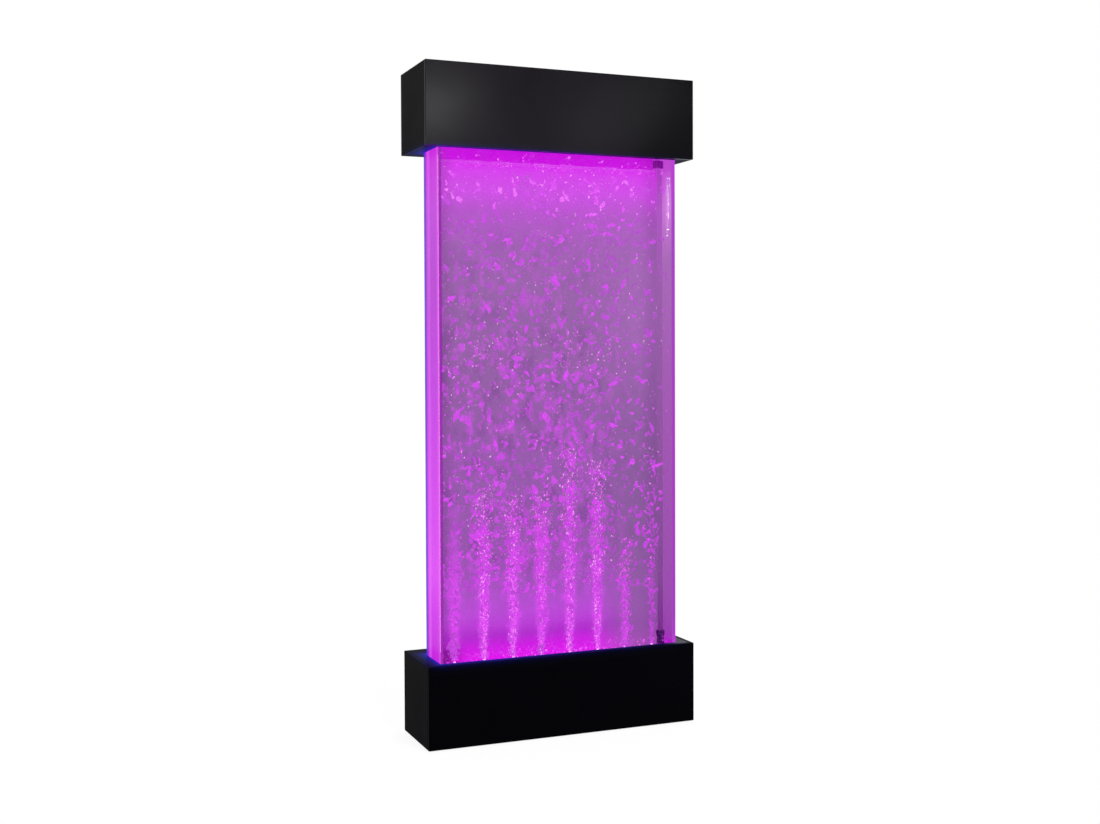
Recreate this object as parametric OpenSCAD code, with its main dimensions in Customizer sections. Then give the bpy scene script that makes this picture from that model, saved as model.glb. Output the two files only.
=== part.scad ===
// Bubble wall: a tall clear water tank that stands in a black base and carries a black canopy.
// Millimetres, +Z up, the front faces -Y. The origin is the middle of the footprint, on the floor.

/* [Case] */
// Height from the floor to the rim of the canopy
total_h = 1800; // [1200:10:2200]
// Width of the base and of the canopy
box_w = 780; // [680:5:1000]
// Depth of the base and of the canopy
box_d = 225; // [205:1:320]
// Height of the base's boards
base_h = 220; // [208:1:320]
// Height of the canopy's boards
canopy_h = 220; // [160:1:320]
// Thickness of the case boards
board_t = 12; // [9:1:18]
// How far the base's back board stands in from the back edge
back_recess = 45; // [42:1:50]
// How far the canopy's top board lies below the rim
lid_drop = 8; // [8:1:20]
// Side of the square cleats in the corners
cleat_w = 20; // [15:1:30]
// Height of the rubber feet
foot_h = 3; // [2:1:8]
// Radius of the rubber feet
foot_r = 15; // [8:1:25]
// How far the middles of the outer feet stand in from the case's edges
foot_in = 30; // [25:1:60]

/* [Tank] */
// Width of the deck's ledge at each end of the tank
end_ledge = 43; // [36:1:90]
// Depth of the deck's ledge in front of the tank
front_ledge = 28.5; // [20:0.5:40]
// Depth of the deck's ledge behind the tank
rear_ledge = 68.5; // [64:0.5:80]
// Thickness of the tank's clear sheets
sheet_t = 8; // [6:1:10]
// Thickness of the tank's floor plate
plate_t = 15; // [10:1:20]
// Depth of the tank's floor below the base's deck
plate_drop = 18; // [12:1:30]
// How far the tank stands up inside the canopy
tank_rise = 80; // [60:1:110]
// Thickness of the brace plate near the tank's top
brace_t = 10; // [6:1:12]
// Depth of the brace plate's top below the tank's rim
brace_drop = 24; // [20:1:40]
// Width of the fill opening in the brace plate
fill_w = 300; // [200:5:400]
// Depth of the fill opening in the brace plate
fill_d = 50; // [30:1:54]
// Distance of the water's surface below the canopy
water_gap = 27; // [5:1:80]
// Clearance round the tank where it passes a board
slot_gap = 1; // [0.5:0.5:3]

/* [Tank support] */
// Height of the room for the air tubes between the shelf and the tank's floor
air_room = 60; // [56:1:70]
// Thickness of each trestle
trestle_t = 15; // [12:1:20]
// Distance of the outer trestles from the tank's ends
trestle_in = 87; // [80:1:100]
// Thickness of the shelf under the tank
shelf_t = 15; // [12:1:20]
// Thickness of the foam strip under the tank's edges
pad_t = 3; // [2:1:6]
// Width of the foam strip
pad_w = 12; // [10:1:14]
// Thickness of the canopy's bearers
bearer_t = 20; // [15:1:30]
// Width of the canopy's bearers
bearer_w = 24; // [18:1:40]
// Distance of the canopy's bearers from the tank's ends
bearer_in = 97; // [40:1:140]

/* [Air] */
// Number of bubble nozzles
nozzles = 8; // [4:1:12]
// Distance of the end nozzles from the tank's inner sides
nozzle_in = 45; // [42:1:70]
// Radius of a nozzle's stem
stem_r = 5; // [4:0.5:6]
// Radius of a nozzle's flange
flange_r = 8; // [7:0.5:10]
// Height of a nozzle above the tank's floor
nozzle_h = 10; // [6:1:16]
// Height of the close bubble columns above the nozzles
column_h = 420; // [200:10:600]
// Radius of a bubble column near its nozzle
column_low_r = 7; // [6:0.5:8]
// Radius of a bubble column at its top
column_high_r = 17; // [10:0.5:20]
// Side of the square air manifold
manifold_w = 18; // [14:1:20]
// Radius of the hose barbs
barb_r = 2.5; // [2:0.1:3]
// Radius of the silicone tube
tube_r = 4.5; // [4:0.1:5.5]
// Width of an air pump
pump_w = 140; // [110:1:150]
// Depth of an air pump
pump_d = 85; // [70:1:90]
// Height of an air pump's housing
pump_h = 62; // [50:1:64]
// Gap between the pumps and the inside of the base's back
pump_gap = 18; // [14:1:26]
// Height of a pump's rubber feet
pump_foot_h = 8; // [5:1:8]
// Radius of a pump's flow dial
dial_r = 12; // [9:1:16]
// Thickness of a pump's flow dial
dial_t = 9; // [6:1:10]

/* [Light] */
// Width of an aluminium light channel
channel_w = 16; // [13:1:18]
// Height of an aluminium light channel
channel_h = 14; // [11:1:16]
// Distance of the light channels from the tank's inner sides
channel_in = 39; // [36:1:60]
// Distance of the lower light channels from the tank's middle
channel_y = 35; // [32:1:38]
// Spacing of the light chips along a strip
chip_pitch = 40; // [20:1:60]
// Outer radius of the cable conduit in the tank
conduit_r = 8; // [6:0.5:9]
// Distance of the conduit's middle from the tank's inner side
conduit_in = 17; // [15:1:20]
// Height of the conduit's lower gland above the tank's floor
gland_h = 46; // [30:1:60]

/* [Drain and power] */
// Outer radius of the drain pipe
pipe_r = 8; // [7:0.5:9]
// Height of the drain pipe's run to the back
pipe_z = 60; // [52:1:70]
// Bend radius of the drain pipe
pipe_bend = 20; // [16:1:24]
// Radius of the drain valve's hose tail
tail_r = 6.5; // [5:0.5:8]
// Length of the drain valve's lever
lever_l = 42; // [30:1:46]
// Distance of the power inlet's middle from the inside of the case's end
inlet_in = 48; // [42:1:60]
// Height of the power inlet above the floor
inlet_z = 80; // [76:1:82]

/* [Doors] */
// Width of the service opening in the base's back
door_w = 440; // [380:5:460]
// Height of the service opening
door_h = 86; // [80:1:90]
// Height of the service opening's sill above the floor
door_sill = 20; // [18:1:24]
// Width of the fill hatch in the canopy's top
hatch_w = 320; // [220:5:400]
// Depth of the fill hatch
hatch_d = 110; // [80:1:120]
// Gap round the door and the hatch
panel_gap = 1.5; // [1:0.5:3]
// Radius of a hinge knuckle
knuckle_r = 3.5; // [3:0.1:4]
// Length of a hinge
hinge_l = 30; // [24:1:34]
// Radius of a hinge pin
pin_r = 1.5; // [1:0.1:2]
// Distance between the two wall tie holes
tie_pitch = 400; // [300:5:600]
// Radius of a wall tie hole
tie_r = 3.5; // [2.5:0.5:5]
// Distance of the wall tie holes below the rim
tie_drop = 55; // [45:1:80]

/* [Hidden] */
$fn = 48;

// Clearances
run_gap = 0.05;
hose_gap = 0.05;
fit_gap = 0.3;
// Reach of a cutting tool past the face that it cuts
past = 1;

// Case
front_y = -box_d / 2;
back_y = box_d / 2;
in_x = box_w / 2 - board_t;
in_front_y = front_y + board_t;
in_back_y = back_y - board_t;
rear_face_y = back_y - back_recess;
rear_in_y = rear_face_y - board_t;
deck_top = foot_h + base_h;
deck_under = deck_top - board_t;
bay_z = foot_h + board_t;
soffit_z = total_h - canopy_h;
soffit_top = soffit_z + board_t;
lid_top = total_h - lid_drop;
lid_under = lid_top - board_t;

// Tank
tank_x = box_w / 2 - end_ledge;
water_x = tank_x - sheet_t;
tank_front = front_y + front_ledge;
tank_back = back_y - rear_ledge;
tank_y = (tank_front + tank_back) / 2;
water_front = tank_front + sheet_t;
water_back = tank_back - sheet_t;
plate_top = deck_top - plate_drop;
plate_z = plate_top - plate_t;
shelf_top = plate_z - air_room;
shelf_z = shelf_top - shelf_t;
tank_z = shelf_top + pad_t;
tank_top = soffit_z + tank_rise;
brace_top = tank_top - brace_drop;
brace_z = brace_top - brace_t;
water_top = soffit_z - water_gap;
trestle_x = tank_x - trestle_in;
bearer_x = tank_x - bearer_in;
trestle_gap = 6;
notch_d = 18;
notch_h = 22;
foot_edge = 5;

// Air
nozzle_span = 2 * (water_x - nozzle_in);
nozzle_pitch = nozzle_span / (nozzles - 1);
nozzle_x = [for (i = [0 : nozzles - 1]) i * nozzle_pitch - nozzle_span / 2];
nut_h = 6;
nut_edge = 4;
flange_h = 3;
tip_r = 2.5;
barb_l = 10;
barb_root = 3;
bore_r = 1.2;
tip_z = plate_top + nozzle_h + fit_gap;
// Least water between a bubble column and what stands beside it
column_wall = 3;
// Largest rise from lump to lump, as a share of a column's top radius
lump_step = 1.2;
// Turns of the lumps' places from lump to lump and from column to column, and of their sizes
lump_turn = 97;
column_turn = 53;
ripple_turn = 150;
column_sway = 4;
column_gather = 1.35;
column_ripple = 0.1;
column_lumps = ceil(column_gather * column_h / (lump_step * column_high_r));
tail_l = 6;
clip_t = 4;
clip_w = 16;
clip_h = 9;
clip_in = 60;
manifold_z = shelf_top + clip_t;
manifold_top = manifold_z + manifold_w;
manifold_over = 16;
manifold_x = nozzle_span / 2 + manifold_over;
manifold_end = 8;
manifold_bore = 5;
clip_x = manifold_x - clip_in;
nozzle_tail_z = plate_z - nut_h - tail_l;
pump_x = trestle_x / 2;
pump_y = rear_in_y - pump_gap - pump_d / 2;
pump_z = bay_z + pump_foot_h;
pump_top = pump_z + pump_h;
pump_corner = 10;
pump_seam = 1.5;
pump_inset = 1;
spigot_l = 6;
pump_foot_r = 7;
pump_foot_in = 16;
valve_rise = 15;
valve_z = pump_top + valve_rise;
valve_h = 14;
valve_r = 9;
valve_tail = 7;
hose_way_w = 50;
hose_way_d = 60;
dial_up = 37;
dial_z = pump_z + dial_up;
dial_face_y = pump_y + pump_d / 2;
dial_shaft_r = 3;
dial_shaft_l = 12;
dial_flutes = 12;
flute_r = 1.6;
flute_out = 0.6;
pointer_w = 1.6;
pointer_h = 0.8;
pointer_in = 2;

// Light
channel_x = water_x - channel_in;
channel_wall = 1.5;
diffuser_t = 1.5;
strip_t = 1.6;
strip_w = 10;
strip_gap = 8;
chip_w = 5;
chip_h = 1.6;
thin_lead_r = 1.6;
top_channel_gap = 6;
top_channel_y = water_back - top_channel_gap - channel_w / 2;
strip_lead_h = channel_h - channel_wall - strip_t - thin_lead_r - run_gap;
conduit_x = water_x - conduit_in;
conduit_bore = 5.5;
conduit_tail = 14;
conduit_over = 10;
conduit_top = brace_top + conduit_over;
gland_r = 13;
gland_nut_h = 9;
gland_cap_h = 14;
gland_tail_h = 8;
gland_neck_in = 2;
gland_cap_in = 0.5;
gland_tail_in = 1;
tie_clip_t = 3.5;
tie_clip_w = 12;
tie_clip_h = 20;
tie_clip_drop = 16;
lead_way_w = 24;
lead_way_d = 60;

// Drain and power
drain_x = -(water_x - conduit_in);
drain_stem_r = pipe_r + 2;
drain_stem_l = 20;
drain_socket_l = 6;
drain_nut_h = 8;
drain_flange_r = 14;
pipe_bore = 6;
pipe_top = plate_z - drain_stem_l + drain_socket_l;
valve_l = 30;
valve_y = rear_face_y + 17;
valve_end_y = rear_face_y + valve_l;
valve_body_r = 12;
spout_drop = 26;
spout_edge = 1;
tail_wall = 2;
lever_t = 4;
lever_w = 12;
lever_stem_r = 4;
lever_stem_in = 6;
lever_stem_out = 2;
lever_y = valve_end_y + fit_gap;
tail_drop = 46;
tail_z = pipe_z - tail_drop;
inlet_x = in_x - inlet_in;
inlet_w = 27;
inlet_h = 48;
inlet_l = 30;
inlet_flange_t = 2.5;
inlet_edge = 3;
rocker_w = 18;
rocker_h = 14;
rocker_up = 13;
rocker_z = inlet_z + rocker_up;
rocker_out = 1;
rocker_y = rear_face_y + rocker_out;
rocker_well = 12;
rocker_gap = 0.5;
rocker_top = 2.2;
rocker_dip = 1.4;
rocker_root = 4;
rocker_tilt = 8;
rocker_pin_r = 1.5;
rocker_pin_l = 2;
socket_w = 23;
socket_h = 16;
socket_l = 17;
socket_down = 10;
socket_z = inlet_z - socket_down;
socket_pin = [2, 15, 4];
socket_pin_place = [[-7, 1], [0, 4], [7, 1]];

// Doors
hinge_t = 1.5;
leaf_w = 18;
door_x = -door_w / 2 + panel_gap / 2;
door_axis_y = rear_face_y + knuckle_r;
door_top = door_sill + door_h;
door_mid_z = door_sill + door_h / 2;
door_hinge_in = 23;
door_hinge_z = [door_sill + door_hinge_in, door_top - door_hinge_in];
rivet_r = 2.2;
rivet_t = 0.8;
rivet_in = 6;
hatch_back = tank_y + hatch_d / 2;
hatch_front = tank_y - hatch_d / 2;
hatch_axis_y = hatch_back - panel_gap / 2;
hatch_axis_z = lid_top + knuckle_r;
hatch_hinge_in = 60;
hatch_hinge_x = hatch_w / 2 - hatch_hinge_in;
finger_r = 11;
finger_in = 22;
finger_y = hatch_front + finger_in;
batten_w = 20;
batten_h = 10;
batten_lap = 10;
knob_in = 30;
knob_x = door_w / 2 - knob_in;
knob_r = 11;
knob_neck_r = 5;
knob_l = [12, 3, 6];
catch_in = 60;
catch_x = door_w / 2 - catch_in;
catch_size = [32, 11, 7.5];
catch_pad = [24, 9, 5];

// Screws: radius of the shank and of the head, and the length under the face
screw_r = 1.8;
screw_head_r = 3.8;
screw_l = 26;
screw_slot = [3.6, 0.8, 1.2];
screw_in = 30;
base_screw_z = [bay_z + screw_in, deck_under - screw_in];
canopy_screw_z = [soffit_top + screw_in, lid_under - screw_in];
tie_z = total_h - tie_drop;
cleat_mid_x = in_x - cleat_w / 2;
cleat_mid_y = in_back_y - cleat_w / 2;

// Wiring in the dry bay at the right end, measured from the bay's rear right corner on the floor board
bay = [in_x, rear_in_y, bay_z];
supply_size = [40, 90, 30];
supply_place = [-102, -115, 0];
supply_lo = bay + supply_place;
supply_slots = 9;
supply_slot = [28, 3, 1];
supply_slot_pitch = 8;
control_size = [36, 70, 22];
control_place = [-46, -115, 0];
control_lo = bay + control_place;
control_corner = 3;
control_top = control_size[2];
block_size = [44, 18, 18];
block_place = [-50, -43, 0];
block_lo = bay + block_place;
block_screws = 4;
block_screw_r = 2;
block_screw_pitch = 10;
block_screw_h = 6;
block_screw_back = 4;
lead_r = 2.2;
lead_sides = 8;
corner_steps = 4;
pump_end = pump_w / 2;
pump_lead_y = dial_face_y - 14;
pump_lead_z = pump_z + 13;
strip_lead_z = plate_z - strip_lead_h;
strip_lead_x = channel_x - 14;
inlet_lead = [
    [inlet_x, rear_face_y - inlet_l, inlet_z - 14], [inlet_x, rear_in_y - 30, inlet_z - 14],
    bay + [-34, -37, 41], bay + [-28, -34, 31], bay + [-28, -34, block_size[2]]
];
supply_lead = [
    bay + [-50, -31, 7], bay + [-57, -31, 7], bay + [-58, -20, 19], bay + [-78, -11, 22],
    bay + [-82, -15, 22], bay + [-82, -25, 22]
];
near_pump_lead = [
    bay + [-40, -25, 7], bay + [-40, -13, 7], bay + [-78, -12, 7],
    [pump_x + pump_end + 30, rear_in_y - 12, bay_z + 7],
    [pump_x + pump_end + 14, pump_lead_y, pump_lead_z], [pump_x + pump_end, pump_lead_y, pump_lead_z]
];
far_pump_lead = [
    bay + [-28, -25, 7], bay + [-28, -6, 7], bay + [-98, -6, 7], [0, rear_in_y - 6, bay_z + 7],
    [pump_end - pump_x + 24, rear_in_y - 8, bay_z + 9],
    [pump_end - pump_x + 14, pump_lead_y, pump_lead_z], [pump_end - pump_x, pump_lead_y, pump_lead_z]
];
link_lead = [
    bay + [-82, -115, 13], bay + [-82, -129, 12], bay + [-28, -131, 10], bay + [-28, -115, 10]
];
top_lead = [
    bay + [-28, -75, control_top], bay + [-28, -75, 45], [conduit_x, tank_y, shelf_z - 11],
    [conduit_x, tank_y, shelf_top + 30], [conduit_x, tank_y, conduit_top + 10],
    [conduit_x - 4, top_channel_y, conduit_top + 14],
    [conduit_x - 10, top_channel_y, brace_top + strip_lead_h],
    [strip_lead_x, top_channel_y, brace_top + strip_lead_h]
];
back_strip_lead = [
    bay + [-20, -65, control_top], bay + [-20, -65, 40], [conduit_x + 4, tank_y + 24, shelf_z - 7],
    [conduit_x, tank_y + 24, shelf_top + 10], [conduit_x - 6, tank_y + 30, plate_z - 12],
    [conduit_x - 12, tank_y + channel_y, strip_lead_z], [strip_lead_x, tank_y + channel_y, strip_lead_z]
];
front_strip_lead = [
    bay + [-36, -85, control_top], bay + [-36, -85, 40], [conduit_x + 2, tank_y - 24, shelf_z - 9],
    [conduit_x, tank_y - 26, shelf_top + 10], [conduit_x - 6, tank_y - 30, plate_z - 12],
    [conduit_x - 12, tank_y - channel_y, strip_lead_z], [strip_lead_x, tank_y - channel_y, strip_lead_z]
];

// Path through the points with each corner eased by a short curve
function unit(v) = v / norm(v);
function ease(p, i) = min(norm(p[i] - p[i - 1]), norm(p[i + 1] - p[i])) / 2.1;
function corner(p, i) = let (
    a = p[i] + unit(p[i - 1] - p[i]) * ease(p, i),
    c = p[i] + unit(p[i + 1] - p[i]) * ease(p, i)
) [
    for (k = [0 : corner_steps]) let (t = k / corner_steps)
        a * (1 - t) ^ 2 + p[i] * 2 * t * (1 - t) + c * t ^ 2
];
function eased(p) = concat([p[0]], [for (i = [1 : len(p) - 2]) each corner(p, i)], [p[len(p) - 1]]);
function heading(p, i) = unit(p[min(i + 1, len(p) - 1)] - p[max(i - 1, 0)]);
function square_to(v, t) = unit(v - (v * t) * t);
function any_side(t) = abs(t[2]) > 0.9 ? square_to([1, 0, 0], t) : square_to([0, 0, 1], t);
function next_side(s, p, i) = square_to(s, heading(p, min(i, len(p) - 1)));
function sides_along(p) = [
    for (i = 0, s = any_side(heading(p, 0)); i < len(p); i = i + 1, s = next_side(s, p, i)) s
];

// Round lead along a path
module lead(path, r) {
    p = eased(path);
    s = sides_along(p);
    n = lead_sides;
    last = len(p) - 1;
    points = [
        for (i = [0 : last]) let (t = heading(p, i), u = s[i], w = cross(t, u))
            for (k = [0 : n - 1]) p[i] + r * (cos(k * 360 / n) * u + sin(k * 360 / n) * w)
    ];
    walls = [
        for (i = [0 : last - 1], k = [0 : n - 1]) let (a = i * n + k, b = i * n + (k + 1) % n)
            each [[a, b + n, b], [a, a + n, b + n]]
    ];
    ends = [
        for (k = [1 : n - 2]) each [[0, k, k + 1], [last * n, last * n + k + 1, last * n + k]]
    ];
    polyhedron(points, concat(walls, ends));
}

// Block between two corners
module block(lo, hi) {
    translate(lo) cube(hi - lo);
}

// Upright cylinder from one height to another
module post(x, y, z0, z1, r) {
    translate([x, y, z0]) cylinder(h = z1 - z0, r = r);
}

// Upright tube
module sleeve(x, y, z0, z1, r, bore) {
    difference() {
        post(x, y, z0, z1, r);
        post(x, y, z0 - past, z1 + past, bore);
    }
}

// Cylinder that runs from front to back
module rod_y(x, y0, y1, z, r) {
    translate([x, y0, z]) rotate([-90, 0, 0]) cylinder(h = y1 - y0, r = r);
}

// Cylinder that runs from left to right
module rod_x(x0, x1, y, z, r) {
    translate([x0, y, z]) rotate([0, 90, 0]) cylinder(h = x1 - x0, r = r);
}

// Upright block with round corners
module soft_block(lo, size, r) {
    translate(lo) {
        translate([r, 0, 0]) cube([size[0] - 2 * r, size[1], size[2]]);
        translate([0, r, 0]) cube([size[0], size[1] - 2 * r, size[2]]);
        for (x = [r, size[0] - r], y = [r, size[1] - r]) translate([x, y, 0]) cylinder(h = size[2], r = r);
    }
}

// Countersunk screw whose head is flush with the face at z = 0 and whose shank runs down
module screw() {
    difference() {
        union() {
            translate([0, 0, -screw_l]) cylinder(h = screw_l, r = screw_r);
            translate([0, 0, screw_r - screw_head_r])
                cylinder(h = screw_head_r - screw_r, r1 = screw_r, r2 = screw_head_r);
        }
        for (a = [0, 90]) rotate(a) translate([0, 0, past / 2 - screw_slot[2] / 2])
            cube([screw_slot[0], screw_slot[1], screw_slot[2] + past], center = true);
    }
}

// Space that a screw takes
module screw_room() {
    translate([0, 0, -screw_l - fit_gap]) cylinder(h = screw_l + past, r = screw_r + run_gap);
    translate([0, 0, screw_r - screw_head_r - run_gap])
        cylinder(h = screw_head_r - screw_r + run_gap, r1 = screw_r, r2 = screw_head_r + run_gap);
}

// Children at every screw through the base's back board
module at_base_screws() {
    for (x = [-cleat_mid_x, cleat_mid_x], z = base_screw_z)
        translate([x, rear_face_y, z]) rotate([-90, 0, 0]) children();
}

// Children at every screw through the canopy's back board
module at_canopy_screws() {
    for (x = [-cleat_mid_x, cleat_mid_x], z = canopy_screw_z)
        translate([x, back_y, z]) rotate([-90, 0, 0]) children();
}

// Children at every screw through the canopy's lid
module at_lid_screws() {
    for (x = [-cleat_mid_x, cleat_mid_x], y = [-cleat_mid_y, cleat_mid_y])
        translate([x, y, lid_top]) children();
}

// Hole that lets the tank through a board
module tank_slot(z) {
    block(
        [-tank_x - slot_gap, tank_front - slot_gap, z - past],
        [tank_x + slot_gap, tank_back + slot_gap, z + board_t + past]
    );
}

module base_front_board() {
    color("#151519") block([-box_w / 2, front_y, foot_h], [box_w / 2, in_front_y, deck_top]);
}

module base_side_boards() {
    color("#1b1b1f") for (s = [-1, 1])
        translate([s * (in_x + board_t / 2), 0, 0])
            block([-board_t / 2, in_front_y, foot_h], [board_t / 2, back_y, deck_top]);
}

module base_back_board() {
    color("#151519") difference() {
        block([-in_x, rear_in_y, foot_h], [in_x, rear_face_y, deck_under]);
        block([-door_w / 2, rear_in_y - past, door_sill], [door_w / 2, rear_face_y + past, door_top]);
        translate([inlet_x, 0, inlet_z])
            block(
                [-inlet_w / 2 - fit_gap, rear_in_y - past, -inlet_h / 2 - fit_gap],
                [inlet_w / 2 + fit_gap, rear_face_y + past, inlet_h / 2 + fit_gap]
            );
        rod_y(drain_x, rear_in_y - past, rear_face_y + past, pipe_z, pipe_r + fit_gap);
        at_base_screws() screw_room();
    }
}

module base_floor_board() {
    color("#1b1b1f") block([-in_x, in_front_y, foot_h], [in_x, rear_in_y, bay_z]);
}

module base_deck() {
    color("#151519") difference() {
        block([-in_x, in_front_y, deck_under], [in_x, back_y, deck_top]);
        tank_slot(deck_under);
    }
}

module corner_cleats() {
    color("#b98d5a") difference() {
        for (s = [-1, 1]) {
            for (y = [in_front_y, rear_in_y - cleat_w])
                translate([s * cleat_mid_x, y, 0])
                    block([-cleat_w / 2, 0, bay_z], [cleat_w / 2, cleat_w, deck_under]);
            for (y = [in_front_y, in_back_y - cleat_w])
                translate([s * cleat_mid_x, y, 0])
                    block([-cleat_w / 2, 0, soffit_top], [cleat_w / 2, cleat_w, lid_under]);
        }
        at_base_screws() screw_room();
        at_canopy_screws() screw_room();
        at_lid_screws() screw_room();
    }
}

module base_feet() {
    color("#101010") for (x = [-1, 0, 1], y = [front_y + foot_in, rear_face_y - foot_r - foot_edge])
        post(x * (box_w / 2 - foot_in), y, 0, foot_h, foot_r);
}

module case_screws() {
    color("#33343a") {
        at_base_screws() screw();
        at_canopy_screws() screw();
        at_lid_screws() screw();
    }
}

module tank_trestles() {
    y0 = in_front_y + trestle_gap;
    y1 = rear_in_y - fit_gap;
    color("#b98d5a") for (x = [-trestle_x, 0, trestle_x]) translate([x - trestle_t / 2, 0, 0]) difference() {
        block([0, y0, bay_z], [trestle_t, y1, shelf_z]);
        block([-past, y0 - past, bay_z - past], [trestle_t + past, y0 + notch_d, bay_z + notch_h]);
        block([-past, y1 - notch_d, bay_z - past], [trestle_t + past, y1 + past, bay_z + notch_h]);
    }
}

// Way through the shelf, w wide and d deep, in the middle of the tank's depth
module shelf_way(x, w, d) {
    translate([x, tank_y, 0]) block([-w / 2, -d / 2, shelf_z - past], [w / 2, d / 2, shelf_top + past]);
}

module tank_shelf() {
    color("#b98d5a") difference() {
        block([-tank_x, tank_front, shelf_z], [tank_x, tank_back, shelf_top]);
        for (x = [-pump_x, pump_x]) shelf_way(x, hose_way_w, hose_way_d);
        shelf_way(conduit_x, lead_way_w, lead_way_d);
        post(drain_x, tank_y, shelf_z - past, shelf_top + past, drain_stem_r);
    }
}

module tank_pad() {
    color("#2b2b2e") difference() {
        block([-tank_x, tank_front, shelf_top], [tank_x, tank_back, tank_z]);
        block(
            [-tank_x + pad_w, tank_front + pad_w, shelf_top - past],
            [tank_x - pad_w, tank_back - pad_w, tank_z + past]
        );
    }
}

module service_door() {
    color("#1b1b1f") block(
        [-door_w / 2 + panel_gap, rear_in_y, door_sill + panel_gap],
        [door_w / 2 - panel_gap, rear_face_y, door_top - panel_gap]
    );
}

module door_knob() {
    color("#2b2c30") translate([knob_x, rear_face_y, door_mid_z]) rotate([-90, 0, 0]) {
        cylinder(h = knob_l[0], r = knob_neck_r);
        translate([0, 0, knob_l[0]]) cylinder(h = knob_l[1], r1 = knob_neck_r, r2 = knob_r);
        translate([0, 0, knob_l[0] + knob_l[1]]) cylinder(h = knob_l[2], r = knob_r);
    }
}

module door_catches() {
    color("#8b8d92") translate([catch_x, rear_in_y, door_top + run_gap]) {
        block([-catch_size[0] / 2, -catch_size[1], 0], [catch_size[0] / 2, 0, catch_size[2]]);
        block([-catch_pad[0] / 2, -catch_pad[1], -catch_pad[2]], [catch_pad[0] / 2, -fit_gap, 0]);
    }
}

// Low round rivet head whose foot is at p and that faces +Y
module rivet_head(p) {
    translate(p) rotate([-90, 0, 0]) cylinder(h = rivet_t, r = rivet_r);
}

// Hinge leaf along Z whose axis is at the origin and whose plate lies at y = -knuckle_r, towards +X or -X
module hinge_leaf(side, outer) {
    third = hinge_l / 3;
    low = -hinge_l / 2;
    spans = outer ? [[0, third], [2 * third, hinge_l]] : [[third, 2 * third]];
    rooms = outer
        ? [[third - fit_gap, 2 * third + fit_gap]]
        : [[-past, third + fit_gap], [2 * third - fit_gap, hinge_l + past]];
    difference() {
        union() {
            translate([side > 0 ? run_gap : -leaf_w, -knuckle_r, low])
                cube([leaf_w - run_gap, hinge_t, hinge_l]);
            for (s = spans) post(0, 0, s[0] + low, s[1] + low, knuckle_r);
        }
        cylinder(h = hinge_l + 2 * past, r = outer ? pin_r : pin_r + run_gap, center = true);
        for (s = rooms) post(0, 0, s[0] + low, s[1] + low, knuckle_r + fit_gap);
    }
    for (z = [-third, third]) rivet_head([side * (leaf_w - rivet_in), hinge_t - knuckle_r, z]);
}

// Children at each door hinge, with Z along its axis
module at_door_hinges() {
    for (z = door_hinge_z) translate([door_x, door_axis_y, z]) children();
}

// Children at each hatch hinge, with Z along its axis and Y up
module at_hatch_hinges() {
    for (x = [-hatch_hinge_x, hatch_hinge_x])
        translate([x, hatch_axis_y, hatch_axis_z]) rotate([90, 0, 90]) children();
}

module hinge_fixed_leaves() {
    color("#9fa1a6") {
        at_door_hinges() hinge_leaf(-1, true);
        at_hatch_hinges() hinge_leaf(1, true);
    }
}

module hinge_pins() {
    color("#c7c8cc") {
        at_door_hinges() cylinder(h = hinge_l, r = pin_r, center = true);
        at_hatch_hinges() cylinder(h = hinge_l, r = pin_r, center = true);
    }
}

module door_hinge_leaves() {
    color("#9fa1a6") at_door_hinges() hinge_leaf(1, false);
}

module hatch_hinge_leaves() {
    color("#9fa1a6") at_hatch_hinges() hinge_leaf(-1, false);
}

module tank_front_sheet() {
    color("#d9c7f2", 0.3) block([-tank_x, tank_front, tank_z], [tank_x, water_front, tank_top]);
}

module tank_back_sheet() {
    color("#d7a8e6", 0.8) block([-tank_x, water_back, tank_z], [tank_x, tank_back, tank_top]);
}

module tank_side_sheets() {
    color("#d9a0ee", 0.5) for (s = [-1, 1]) translate([s * (tank_x - sheet_t / 2), 0, 0])
        block([-sheet_t / 2, water_front, tank_z], [sheet_t / 2, water_back, tank_top]);
}

module tank_floor_plate() {
    color("#d9c7f2", 0.5) difference() {
        block([-water_x, water_front, plate_z], [water_x, water_back, plate_top]);
        for (x = nozzle_x) post(x, tank_y, plate_z - past, plate_top + past, stem_r + run_gap);
        post(conduit_x, tank_y, plate_z - past, plate_top + past, conduit_r + run_gap);
        post(drain_x, tank_y, plate_z - past, plate_top + past, drain_stem_r + run_gap);
    }
}

module tank_brace_plate() {
    color("#d9c7f2", 0.5) difference() {
        block([-water_x, water_front, brace_z], [water_x, water_back, brace_top]);
        block(
            [-fill_w / 2, tank_y - fill_d / 2, brace_z - past],
            [fill_w / 2, tank_y + fill_d / 2, brace_top + past]
        );
        post(conduit_x, tank_y, brace_z - past, brace_top + past, conduit_r + run_gap);
    }
}

// Children above every nozzle's tip, with the column's number in $column
module at_columns() {
    for (i = [0 : nozzles - 1]) translate([nozzle_x[i], tank_y, tip_z]) {
        $column = i;
        children();
    }
}

// Radius of bubble column i at its top, clear of its neighbours and of the conduit
function column_top_r(i) = let (
    room = i > 0 && i < nozzles - 1 ? nozzle_pitch / 2 : nozzle_in - conduit_in - conduit_r
) min(column_high_r, (room - column_wall - column_sway) / (1 + column_ripple));

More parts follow.
